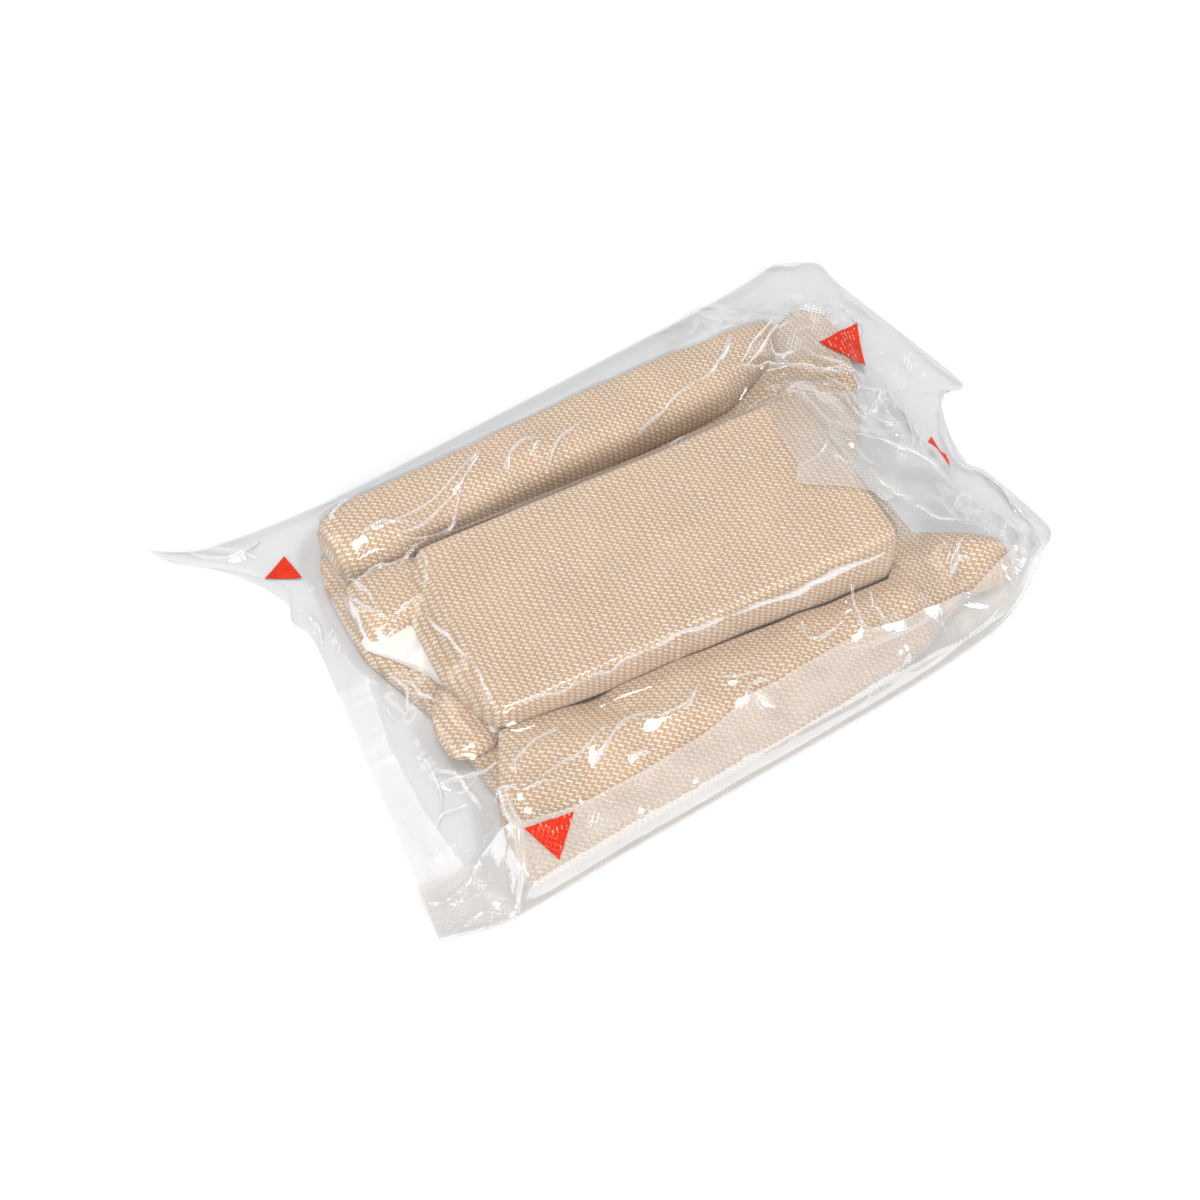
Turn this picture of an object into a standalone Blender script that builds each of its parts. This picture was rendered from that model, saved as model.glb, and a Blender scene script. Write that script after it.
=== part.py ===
"""An emergency trauma bandage, folded flat and sealed in a clear vacuum pouch.

Metres, Z up. The pack lies on the ground: X runs along its long side, Y to its back edge. The layout
starts at the middle of the raised centre fold and is moved to the bounding box at the end.
"""

import math
from typing import NamedTuple

import bmesh
import bpy
import numpy as np
from mathutils import Vector
from mathutils.bvhtree import BVHTree

# Clearances and sheet thicknesses
GAP = 0.0003
FILM = 0.0004
MARK_THICK = 0.0003

# The elastic wrap, one long strip folded into flat bundles
WRAP_WIDTH = 0.158
WRAP_SHIFT = 0.003
BASE_THICK = 0.0042
BASE_INSET = 0.004

CENTRE_LENGTH = 0.108
CENTRE_DEPTH = 0.056
CENTRE_HEIGHT = 0.0188
CENTRE_TURN = math.radians(-7.5)

ROLL_LENGTH = 0.150
ROLL_DEPTH = 0.022
ROLL_HEIGHT = 0.0125
ROLL_GAP = 0.006
ROLL_GATHERS = 4.5
ROLL_GATHER_SHARE = 0.05

FRONT_REACH = 0.0225
FRONT_HEIGHT = 0.0072
FRONT_SEAM = 0.0006
FRONT_GATHERS = 5.5
FRONT_GATHER_SHARE = 0.10

TUCK_LENGTH = 0.023
TUCK_DEPTH = 0.020
TUCK_HEIGHT = 0.0085
TUCK_SEAM = 0.0006

# The white wound pad, between the base layers and the centre fold
PAD_LENGTH = 0.112
PAD_DEPTH = 0.042
PAD_THICK = 0.0032
PAD_LEFT = 0.0165

# The pouch beyond the folded wrap
LEFT_MARGIN = 0.025
RIGHT_MARGIN = 0.012
BACK_MARGIN = 0.022
FRONT_MARGIN = 0.0066
FOLD_RADIUS = 0.0020
SKIRT = 0.0055
FLAP_DEPTH = 0.0155
FLAP_CLEAR = 0.0011
PUCKER = 0.0035
PUCKER_START = 0.88
PUCKERS = 6

# The printed tear marks
MARK_BASE = 0.014
MARK_DEPTH = 0.0115
MARK_NOTCH = 0.0016
MARK_TIP = 0.0005

# Mesh fineness
LOOP_POINTS = 20
SQUARENESS = 0.42
STATIONS = 22
STATION_CLEARANCE = 0.015
SHEET_COLUMNS = 40
SHEET_ROWS = 25
MARK_ROWS = 6
MARK_COLUMNS = 4
WINDOW_STEPS = 3
FLAP_ROWS = 4
FOLD_STEPS = (60.0, 0.0, -60.0)
BOTTOM_ROWS = (0.12, 0.30, 0.50, 0.65, 0.74, 0.79, 0.83, 0.87, 0.91, 0.95, 1.0)
STEEPEST = 5.0
TENT_SLOPE = 0.6
TENT_PASSES = 2
RAY_HEIGHT = 1.0

# What follows from the sizes above
SIN, COS = math.sin(CENTRE_TURN), math.cos(CENTRE_TURN)
CENTRE_HALF_REACH = abs(CENTRE_LENGTH / 2 * SIN) + CENTRE_DEPTH / 2 * COS
STACK_BACK = CENTRE_HALF_REACH + ROLL_GAP + ROLL_DEPTH
STACK_FRONT = -CENTRE_HALF_REACH - FRONT_REACH
POUCH_LENGTH = WRAP_WIDTH + LEFT_MARGIN + RIGHT_MARGIN
POUCH_DEPTH = STACK_BACK - STACK_FRONT + BACK_MARGIN + FRONT_MARGIN
POUCH_X = WRAP_SHIFT + (RIGHT_MARGIN - LEFT_MARGIN) / 2
POUCH_Y = (STACK_BACK + BACK_MARGIN + STACK_FRONT - FRONT_MARGIN) / 2
BASE_FLOOR = FILM + GAP
LAYER_FLOOR = BASE_FLOOR + BASE_THICK + GAP
CENTRE_FLOOR = LAYER_FLOOR + PAD_THICK + GAP

# The pouch's plan outline, one side after another: shares of its length and depth from its middle
FRONT_SIDE = (
    # along, across
    (-0.500, -0.478),
    (-0.418, -0.505),
    (-0.244, -0.499),
    (0.192, -0.496),
    (0.351, -0.476),
    (0.425, -0.455),
    (0.515, -0.385),
)
BACK_SIDE = (
    # along, across
    (-0.546, 0.507),
    (-0.490, 0.459),
    (-0.382, 0.439),
    (-0.208, 0.439),
    (0.413, 0.493),
    (0.541, 0.520),
)
LEFT_SIDE = (
    # along, across
    (-0.500, -0.478),
    (-0.479, -0.322),
    (-0.423, 0.140),
    (-0.433, 0.215),
    (-0.408, 0.289),
    (-0.433, 0.337),
    (-0.469, 0.385),
    (-0.526, 0.452),
    (-0.546, 0.507),
)
RIGHT_SIDE = (
    # along, across
    (0.515, -0.385),
    (0.552, -0.342),
    (0.541, -0.166),
    (0.521, -0.125),
    (0.582, 0.038),
    (0.628, 0.038),
    (0.603, 0.391),
    (0.603, 0.473),
    (0.541, 0.520),
)

# Sections of each bundle, left to right: shares of its length, depth and height
BASE_SECTIONS = (
    # along, front, back, top
    (-0.50, -0.44, 0.44, 0.70),
    (-0.47, -0.50, 0.49, 1.00),
    (0.20, -0.49, 0.50, 1.00),
    (0.36, -0.45, 0.50, 1.00),
    (0.48, -0.41, 0.48, 1.00),
    (0.50, -0.38, 0.44, 0.70),
)
CENTRE_SECTIONS = (
    # along, front, back, top
    (-0.50, -0.45, 0.44, 0.38),
    (-0.47, -0.50, 0.49, 0.46),
    (-0.25, -0.50, 0.50, 0.60),
    (0.00, -0.50, 0.50, 0.74),
    (0.25, -0.49, 0.50, 0.88),
    (0.46, -0.50, 0.50, 1.00),
    (0.50, -0.46, 0.46, 0.92),
)
ROLL_SECTIONS = (
    # along, front, back, top
    (-0.50, -0.40, 0.38, 0.55),
    (-0.46, -0.50, 0.46, 0.86),
    (-0.20, -0.50, 0.50, 1.00),
    (0.15, -0.46, 0.50, 0.97),
    (0.38, -0.38, 0.49, 0.90),
    (0.47, -0.20, 0.48, 0.72),
    (0.50, 0.00, 0.44, 0.45),
)
TUCK_SECTIONS = (
    # along, front, back, top
    (-0.50, -0.36, 0.34, 0.45),
    (-0.30, -0.50, 0.44, 0.85),
    (0.10, -0.44, 0.50, 1.00),
    (0.50, -0.34, 0.48, 0.80),
)
PAD_SECTIONS = (
    # along, front, back, top
    (-0.50, -0.38, 0.40, 0.55),
    (-0.44, -0.47, 0.48, 0.90),
    (0.00, -0.50, 0.50, 1.00),
    (0.50, -0.46, 0.46, 0.90),
)
FRONT_SECTIONS = (
    # along, front inset as a share of the reach, top
    (-0.50, 0.24, 0.50),
    (-0.47, 0.10, 0.70),
    (-0.40, 0.02, 0.90),
    (-0.30, 0.00, 1.00),
    (-0.10, 0.02, 0.86),
    (0.10, 0.05, 1.00),
    (0.22, 0.10, 0.88),
    (0.34, 0.36, 1.00),
    (0.46, 0.54, 1.20),
    (0.50, 0.64, 0.80),
)

# Where the tear marks sit on the pouch: shares of its length and depth, and the way they point
TEAR_MARKS = (
    # name, along, across, degrees
    ("tear_mark_front_left", -0.308, -0.400, -108.0),
    ("tear_mark_back_right", 0.505, 0.258, -95.0),
    ("tear_mark_back_left", -0.400, 0.300, 0.0),
    ("tear_mark_front_right", 0.535, -0.060, 168.0),
)


class Bundle(NamedTuple):
    """A folded bundle in its own frame: its size, where its middle lies and how it is turned."""

    length: float
    depth: float
    height: float
    x: float
    y: float
    floor: float
    turn: float = 0.0
    gathers: float = 0.0
    gather_share: float = 0.0


def clear_scene():
    for old in list(bpy.data.objects):
        bpy.data.objects.remove(old, do_unlink=True)


def material(name, colour, roughness, alpha=1.0):
    made = bpy.data.materials.new(name)
    made.use_nodes = True
    shader = made.node_tree.nodes["Principled BSDF"]
    shader.inputs["Base Color"].default_value = (*colour, 1.0)
    shader.inputs["Roughness"].default_value = roughness
    shader.inputs["Metallic"].default_value = 0.0
    shader.inputs["Alpha"].default_value = alpha
    return made


def mesh_object(name, points, faces, look):
    mesh = bpy.data.meshes.new(name)
    mesh.from_pydata([tuple(point) for point in points], [], faces)
    shaped = bmesh.new()
    shaped.from_mesh(mesh)
    bmesh.ops.recalc_face_normals(shaped, faces=shaped.faces)
    shaped.to_mesh(mesh)
    shaped.free()
    mesh.materials.append(look)
    mesh.shade_smooth()
    made = bpy.data.objects.new(name, mesh)
    bpy.context.scene.collection.objects.link(made)
    return made


def column(rows, index, at):
    """One column of a table, read between its rows."""
    return float(np.interp(at, [row[0] for row in rows], [row[index] for row in rows]))


def section_loop(front, back, floor, height):
    """A rounded section across a bundle, front to back over the top, as (y, z)."""
    middle, half = (front + back) / 2, (back - front) / 2
    loop = []
    for k in range(LOOP_POINTS):
        angle = 2 * math.pi * (k + 0.5) / LOOP_POINTS
        across, up = math.cos(angle), math.sin(angle)
        across = math.copysign(abs(across) ** SQUARENESS, across)
        up = math.copysign(abs(up) ** SQUARENESS, up)
        loop.append((middle + half * across, floor + height * (1 + up) / 2))
    return loop


def loft(name, loops, look):
    """One closed body through the loops, with a flat cap at each end."""
    count = len(loops[0])
    points = [point for loop in loops for point in loop]
    faces = [tuple(range(count))]
    for j in range(len(loops) - 1):
        for k in range(count):
            ahead = (k + 1) % count
            near, far = j * count, (j + 1) * count
            faces.append((near + k, far + k, far + ahead, near + ahead))
    last = (len(loops) - 1) * count
    faces.append(tuple(last + k for k in reversed(range(count))))
    return mesh_object(name, points, faces, look)


def gathered(share, gathers, gather_share):
    """The shallow gathers that cross a bundle and fade at its ends, as a share of its height."""
    fade = 1 - (2 * share) ** 4
    return gather_share * fade * math.sin(2 * math.pi * gathers * share)


def bundle_object(name, bundle, sections, look):
    """A folded bundle lofted through its table of sections, then turned and placed."""
    turn_sin, turn_cos = math.sin(bundle.turn), math.cos(bundle.turn)
    loops = []
    for share in station_shares(sections):
        front = bundle.depth * column(sections, 1, share)
        back = bundle.depth * column(sections, 2, share)
        wave = gathered(share, bundle.gathers, bundle.gather_share)
        height = bundle.height * (column(sections, 3, share) + wave)
        along = bundle.length * share
        loops.append(
            [
                (
                    bundle.x + along * turn_cos - y * turn_sin,
                    bundle.y + along * turn_sin + y * turn_cos,
                    z,
                )
                for y, z in section_loop(front, back, bundle.floor, height)
            ]
        )
    return loft(name, loops, look)


def station_shares(sections):
    """Even stations along a bundle, together with its own rows."""
    even = np.linspace(sections[0][0], sections[-1][0], STATIONS)
    own = [row[0] for row in sections]
    clear = [share for share in even if min(abs(share - row) for row in own) > STATION_CLEARANCE]
    return sorted(own + clear)


def centre_front(x):
    """Y of the centre fold's front edge line at x."""
    return x * SIN / COS - CENTRE_DEPTH / 2 / COS


def centre_left(y):
    """X of the centre fold's left edge line at y."""
    return -CENTRE_LENGTH / 2 / COS - y * SIN / COS


def front_fold(look):
    """The bundle in front of the centre fold, which fills the space up to the pouch's front edge."""
    loops = []
    for share in station_shares(FRONT_SECTIONS):
        x = WRAP_SHIFT + WRAP_WIDTH * share
        front = STACK_FRONT + FRONT_REACH * column(FRONT_SECTIONS, 1, share)
        back = max(centre_front(x), -CENTRE_HALF_REACH) - FRONT_SEAM
        wave = gathered(share, FRONT_GATHERS, FRONT_GATHER_SHARE)
        height = FRONT_HEIGHT * (column(FRONT_SECTIONS, 2, share) + wave)
        loops.append([(x, y, z) for y, z in section_loop(front, back, LAYER_FLOOR, height)])
    return loft("wrap_front_fold", loops, look)


def wrap_bundles(fabric, pad_cloth):
    """Every soft piece inside the pouch."""
    base_depth = STACK_BACK - STACK_FRONT - 2 * BASE_INSET
    base = Bundle(
        length=WRAP_WIDTH - BASE_INSET,
        depth=base_depth,
        height=BASE_THICK,
        x=WRAP_SHIFT,
        y=(STACK_BACK + STACK_FRONT) / 2,
        floor=BASE_FLOOR,
    )
    pad_x = centre_left(0) - PAD_LEFT + PAD_LENGTH / 2
    pad = Bundle(PAD_LENGTH, PAD_DEPTH, PAD_THICK, pad_x, 0.0, LAYER_FLOOR)
    centre = Bundle(
        CENTRE_LENGTH, CENTRE_DEPTH, CENTRE_HEIGHT, 0.0, 0.0, CENTRE_FLOOR, CENTRE_TURN
    )
    roll_y = STACK_BACK - ROLL_DEPTH / 2
    roll = Bundle(
        length=ROLL_LENGTH,
        depth=ROLL_DEPTH,
        height=ROLL_HEIGHT,
        x=WRAP_SHIFT,
        y=roll_y,
        floor=LAYER_FLOOR,
        gathers=ROLL_GATHERS,
        gather_share=ROLL_GATHER_SHARE,
    )
    tuck_y = roll_y - ROLL_DEPTH / 2 - TUCK_SEAM - TUCK_DEPTH / 2
    tuck = Bundle(
        length=TUCK_LENGTH,
        depth=TUCK_DEPTH,
        height=TUCK_HEIGHT,
        x=centre_left(tuck_y - TUCK_DEPTH / 2) - TUCK_SEAM - TUCK_LENGTH / 2,
        y=tuck_y,
        floor=LAYER_FLOOR,
    )
    return [
        bundle_object("wrap_base_layers", base, BASE_SECTIONS, fabric),
        bundle_object("wound_pad", pad, PAD_SECTIONS, pad_cloth),
        bundle_object("wrap_centre_fold", centre, CENTRE_SECTIONS, fabric),
        bundle_object("wrap_back_roll", roll, ROLL_SECTIONS, fabric),
        bundle_object("wrap_left_tuck", tuck, TUCK_SECTIONS, fabric),
        front_fold(fabric),
    ]


def side_point(rows, share):
    """A point at a share of one side's length, in plan."""
    corners = np.array(rows) * (POUCH_LENGTH, POUCH_DEPTH)
    steps = np.linalg.norm(np.diff(corners, axis=0), axis=1)
    walked = np.concatenate(([0.0], np.cumsum(steps))) / steps.sum()
    return np.array([np.interp(share, walked, corners[:, axis]) for axis in (0, 1)])


def pouch_point(along, across):
    """Plan position inside the pouch's four sides, blended from them."""
    front, back = side_point(FRONT_SIDE, along), side_point(BACK_SIDE, along)
    left, right = side_point(LEFT_SIDE, across), side_point(RIGHT_SIDE, across)
    corners = [side_point(rows, end) for rows in (FRONT_SIDE, BACK_SIDE) for end in (0, 1)]
    ruled = (1 - across) * front + across * back + (1 - along) * left + along * right
    flat = (1 - across) * ((1 - along) * corners[0] + along * corners[1])
    flat = flat + across * ((1 - along) * corners[2] + along * corners[3])
    return ruled - flat + (POUCH_X, POUCH_Y)


def top_at(trees, x, y):
    """Height of the highest soft piece under a point, or 0."""
    high = 0.0
    for tree in trees:
        hit = tree.ray_cast(Vector((x, y, RAY_HEIGHT)), Vector((0.0, 0.0, -1.0)))[0]
        if hit is not None:
            high = max(high, hit.z)
    return high


def sheet_shares():
    """Row shares of the sheets: the front edge, the flap's rows, then even rows to the back."""
    flap = FLAP_DEPTH / POUCH_DEPTH
    inset = (FOLD_RADIUS + FILM) / POUCH_DEPTH
    skirt = SKIRT / POUCH_DEPTH
    near = [inset, skirt, (skirt + flap) / 2, flap]
    return near + list(np.linspace(flap, 1.0, SHEET_ROWS - len(near) + 1))[1:]


def covered_heights(plan, trees):
    """Lowest height at each grid point for a sheet that clears the soft pieces in every cell."""
    rows, columns = plan.shape[:2]
    heights = np.zeros((rows, columns))
    for j in range(rows):
        for i in range(columns):
            for dj in (-1, 0, 1):
                for di in (-1, 0, 1):
                    jj = min(max(j + dj, 0), rows - 1)
                    ii = min(max(i + di, 0), columns - 1)
                    for step in range(WINDOW_STEPS + 1):
                        x, y = plan[j, i] + (plan[jj, ii] - plan[j, i]) * step / WINDOW_STEPS
                        heights[j, i] = max(heights[j, i], top_at(trees, x, y))
    return heights


def tented(heights, spacing):
    """Lifts the sheet beside what it covers so that it falls no faster than TENT_SLOPE, along X."""
    drop = TENT_SLOPE * spacing
    tent = heights.copy()
    for _ in range(TENT_PASSES):
        tent[:, 1:] = np.maximum(tent[:, 1:], tent[:, :-1] - drop)
        tent[:, :-1] = np.maximum(tent[:, :-1], tent[:, 1:] - drop)
    return tent


def pucker(along, across):
    """Crumples of the loose film beyond the wrap's right end."""
    beside = max(0.0, (along - PUCKER_START) / (1 - PUCKER_START))
    return PUCKER * beside * (1 - beside) * 4 * math.sin(math.pi * PUCKERS * across) ** 2


def upper_surface(trees):
    """Middle surface of the upper film as an array of rows, columns and xyz."""
    shares = sheet_shares()
    alongs = np.linspace(0.0, 1.0, SHEET_COLUMNS + 1)
    plan = np.array([[pouch_point(a, t) for a in alongs] for t in shares])
    spacing = POUCH_LENGTH / SHEET_COLUMNS
    heights = tented(covered_heights(plan, trees), spacing) + GAP + FILM
    heights += np.array([[pucker(a, t) for a in alongs] for t in shares])
    sealed = FILM + GAP + FILM / 2
    heights = np.maximum(heights, sealed)
    heights[[0, -1], :] = sealed
    heights[:, [0, -1]] = sealed
    return np.dstack([plan, heights])


def steepest_near(steepness):
    """The largest value at each grid point and its eight neighbours."""
    padded = np.pad(steepness, 1, mode="edge")
    rows, columns = steepness.shape
    shifted = [padded[j : j + rows, i : i + columns] for j in range(3) for i in range(3)]
    return np.max(shifted, axis=0)


def flap_over(upper):
    """The flap's middle surface, clear above the upper film on its slopes too."""
    along, across = np.gradient(upper, axis=1), np.gradient(upper, axis=0)
    normal = np.cross(along, across)
    steepness = np.linalg.norm(normal, axis=2) / np.abs(normal[:, :, 2])
    steepness = steepest_near(steepness)
    over = upper.copy()
    over[:, :, 2] += (FILM + FLAP_CLEAR) * np.minimum(steepness, STEEPEST)
    over[0, :, 2] = FILM / 2 + 2 * FOLD_RADIUS
    return over[:FLAP_ROWS]


def sheet_object(name, rows, look):
    """A film sheet: its middle surface, made solid by a modifier."""
    count = len(rows[0])
    points = [point for row in rows for point in row]
    faces = [
        (j * count + i, j * count + i + 1, (j + 1) * count + i + 1, (j + 1) * count + i)
        for j in range(len(rows) - 1)
        for i in range(count - 1)
    ]
    made = mesh_object(name, points, faces, look)
    solid = made.modifiers.new("film", "SOLIDIFY")
    solid.thickness = FILM
    solid.offset = 0.0
    return made


def lower_rows(upper):
    """Rows of the lower film: the flap's free edge, the fold round the front, then the flat bottom."""
    rows = list(reversed(flap_over(upper)))
    alongs = np.linspace(0.0, 1.0, SHEET_COLUMNS + 1)
    for degrees in FOLD_STEPS:
        angle = math.radians(degrees)
        share = FOLD_RADIUS * (1 - math.cos(angle)) / POUCH_DEPTH
        plan = np.array([pouch_point(a, share) for a in alongs])
        height = FILM / 2 + FOLD_RADIUS * (1 + math.sin(angle))
        rows.append(np.column_stack([plan, np.full(len(alongs), height)]))
    for share in [FOLD_RADIUS / POUCH_DEPTH] + list(BOTTOM_ROWS):
        plan = np.array([pouch_point(a, share) for a in alongs])
        rows.append(np.column_stack([plan, np.full(len(alongs), FILM / 2)]))
    return rows


def mark_height(below, x, y, reach):
    """The highest film within reach of a point."""
    steps = (-reach, 0.0, reach)
    return max(top_at(below, x + dx, y + dy) for dx in steps for dy in steps)


def tear_mark(name, along, across, degrees, below, look):
    """A thin printed triangle with a notch at its base, laid on the film below it."""
    turn = math.radians(degrees)
    x0, y0 = POUCH_X + along * POUCH_LENGTH, POUCH_Y + across * POUCH_DEPTH
    width = MARK_COLUMNS + 1
    bottoms, tops = [], []
    for row in range(MARK_ROWS + 1):
        share = row / MARK_ROWS
        half = MARK_BASE / 2 * (1 - share) + MARK_TIP * share
        for k in range(width):
            side = 2 * k / MARK_COLUMNS - 1
            notch = MARK_NOTCH * (1 - share) ** 3 * (1 - abs(side))
            ahead, aside = MARK_DEPTH * share + notch, half * side
            x = x0 + ahead * math.cos(turn) - aside * math.sin(turn)
            y = y0 + ahead * math.sin(turn) + aside * math.cos(turn)
            z = mark_height(below, x, y, MARK_BASE / MARK_COLUMNS / 2) + GAP
            bottoms.append((x, y, z))
            tops.append((x, y, z + MARK_THICK))
    count = len(tops)
    faces = []
    for row in range(MARK_ROWS):
        for k in range(MARK_COLUMNS):
            a = row * width + k
            quad = (a, a + width, a + width + 1, a + 1)
            faces += [quad, tuple(count + corner for corner in reversed(quad))]
        for a in (row * width, row * width + MARK_COLUMNS):
            faces.append((a, count + a, count + a + width, a + width))
    for k in range(MARK_COLUMNS):
        for a in (k, MARK_ROWS * width + k):
            faces.append((a, a + 1, count + a + 1, count + a))
    return mesh_object(name, bottoms + tops, faces, look)


def tree_of(made):
    """A ray-casting tree of an object as its modifiers leave it."""
    return BVHTree.FromObject(made, bpy.context.evaluated_depsgraph_get())


def centre_on_box(objects):
    """Moves every piece so that the box round them stands on the origin."""
    bpy.context.view_layer.update()
    graph = bpy.context.evaluated_depsgraph_get()
    corners = []
    for made in objects:
        mesh = made.evaluated_get(graph).to_mesh()
        corners += [vertex.co.copy() for vertex in mesh.vertices]
    low = [min(corner[axis] for corner in corners) for axis in range(3)]
    high = [max(corner[axis] for corner in corners) for axis in range(3)]
    shift = Vector((-(low[0] + high[0]) / 2, -(low[1] + high[1]) / 2, -low[2]))
    for made in objects:
        made.location = shift


def main():
    clear_scene()
    fabric = material("knitted_wrap", (0.62, 0.45, 0.30), 0.9)
    pad_cloth = material("pad_cloth", (0.86, 0.86, 0.83), 0.85)
    clear_film = material("clear_film", (0.90, 0.91, 0.92), 0.12, alpha=0.3)
    red_print = material("red_print", (0.80, 0.06, 0.02), 0.35)
    soft = wrap_bundles(fabric, pad_cloth)
    bpy.context.view_layer.update()
    upper = upper_surface([tree_of(made) for made in soft])
    films = [
        sheet_object("pouch_upper_film", upper, clear_film),
        sheet_object("pouch_lower_film", lower_rows(upper), clear_film),
    ]
    bpy.context.view_layer.update()
    film_trees = [tree_of(made) for made in films]
    marks = [tear_mark(*row, film_trees, red_print) for row in TEAR_MARKS]
    centre_on_box(soft + films + marks)


main()
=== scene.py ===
"""Looks of an emergency trauma bandage folded flat in a clear vacuum pouch.

Every place is in metres in the part's frame: X along the pack, Y to its back edge, Z up.
"""

import math

import bpy
import numpy as np
from bpy.props import FloatProperty, FloatVectorProperty, PointerProperty
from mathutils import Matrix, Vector
from mathutils.bvhtree import BVHTree


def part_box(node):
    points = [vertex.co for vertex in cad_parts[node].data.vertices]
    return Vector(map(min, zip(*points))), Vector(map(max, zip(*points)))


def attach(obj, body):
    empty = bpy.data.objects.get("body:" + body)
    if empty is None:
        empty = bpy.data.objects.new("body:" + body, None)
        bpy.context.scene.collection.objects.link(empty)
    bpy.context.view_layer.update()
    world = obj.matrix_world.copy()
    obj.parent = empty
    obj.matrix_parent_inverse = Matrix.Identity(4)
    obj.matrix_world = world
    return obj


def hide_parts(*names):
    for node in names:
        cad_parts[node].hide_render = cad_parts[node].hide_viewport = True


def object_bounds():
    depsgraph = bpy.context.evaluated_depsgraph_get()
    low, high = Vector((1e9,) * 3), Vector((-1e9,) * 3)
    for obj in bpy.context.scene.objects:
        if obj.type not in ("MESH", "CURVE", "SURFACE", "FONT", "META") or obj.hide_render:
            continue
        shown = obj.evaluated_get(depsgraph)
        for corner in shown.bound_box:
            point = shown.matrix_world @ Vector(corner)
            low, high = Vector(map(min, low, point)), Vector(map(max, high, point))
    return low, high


bl_info = {
    "name": "Trauma Bandage Pack",
    "version": (1, 0, 0),
    "blender": (4, 5, 0),
    "location": "View3D > Sidebar > Bandage",
    "description": "Dresses a folded trauma bandage in its vacuum pouch",
    "category": "Object",
}

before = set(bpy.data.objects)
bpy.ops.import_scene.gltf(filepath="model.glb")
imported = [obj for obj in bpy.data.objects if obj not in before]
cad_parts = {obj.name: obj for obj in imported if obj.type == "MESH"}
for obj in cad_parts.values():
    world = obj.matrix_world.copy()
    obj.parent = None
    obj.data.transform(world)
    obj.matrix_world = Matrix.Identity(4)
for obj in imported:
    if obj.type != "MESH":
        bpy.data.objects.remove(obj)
CAD_LOW, CAD_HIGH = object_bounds()
PACK_LENGTH = 228.815
MM = (CAD_HIGH.x - CAD_LOW.x) / PACK_LENGTH

# The pouch outline, as in the part: shares of its length and depth from its middle
POUCH_LENGTH = 195.0 * MM
POUCH_DEPTH = 148.8 * MM
FRONT_SIDE = (
    (-0.5, -0.478), (-0.418, -0.505), (-0.244, -0.499), (0.192, -0.49), (0.351, -0.474),
    (0.42, -0.448), (0.51, -0.382),
)
BACK_SIDE = (
    (-0.546, 0.507), (-0.49, 0.459), (-0.382, 0.439), (-0.208, 0.439), (0.413, 0.493),
    (0.541, 0.52),
)
LEFT_SIDE = (
    (-0.5, -0.478), (-0.479, -0.322), (-0.423, 0.14), (-0.433, 0.215), (-0.408, 0.289),
    (-0.433, 0.337), (-0.469, 0.385), (-0.526, 0.452), (-0.546, 0.507),
)
RIGHT_SIDE = (
    (0.51, -0.382), (0.55, -0.342), (0.541, -0.166), (0.521, -0.125), (0.582, 0.038),
    (0.628, 0.038), (0.603, 0.391), (0.603, 0.473), (0.541, 0.52),
)

# A distance past everything here, in metres
FAR = 1e9

# The knit: spacing of its ribs and of the stitches along a rib
RIB_PITCH = 1.75 * MM
STITCH_PITCH = 1.45 * MM

# Film: points along and across the sheets, the step of the height map, the gap to the cloth
FILM_COLUMNS = 300
FILM_ROWS = 230
UNDER_ROWS = 60
FLAP_ROWS = 44
MAP_STEP = 0.7 * MM
FILM_CLEAR = 0.25 * MM
# How far the free film sags between two cells of the map, at a bend radius of 12 mm
SAG = MAP_STEP**2 / (4 * 12 * MM)
# Heights of the films where they lie on the ground, and of the fold between them
SEAL_HEIGHT = 0.6 * MM
UNDER_HEIGHT = 0.15 * MM
BEND_RADIUS = 0.6 * MM
# Least gap between the cloth and the finished upper film or folded margin
TOP_GAP = 0.2 * MM
FLAP_GAP = 0.45 * MM
PRINT_GAP = 0.12 * MM
# Share of a fold's height that the film swells to, and how much wider than the fold
# the swelling of the film and that of the cloth are
SWELL = 0.45
FILM_WIDEN = 1.7
CLOTH_WIDEN = 2.2
# Height and width of the pinched ridge on a fold, as shares of the fold's
PINCH_HEIGHT = 0.68
PINCH_WIDTH = 0.62

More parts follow.
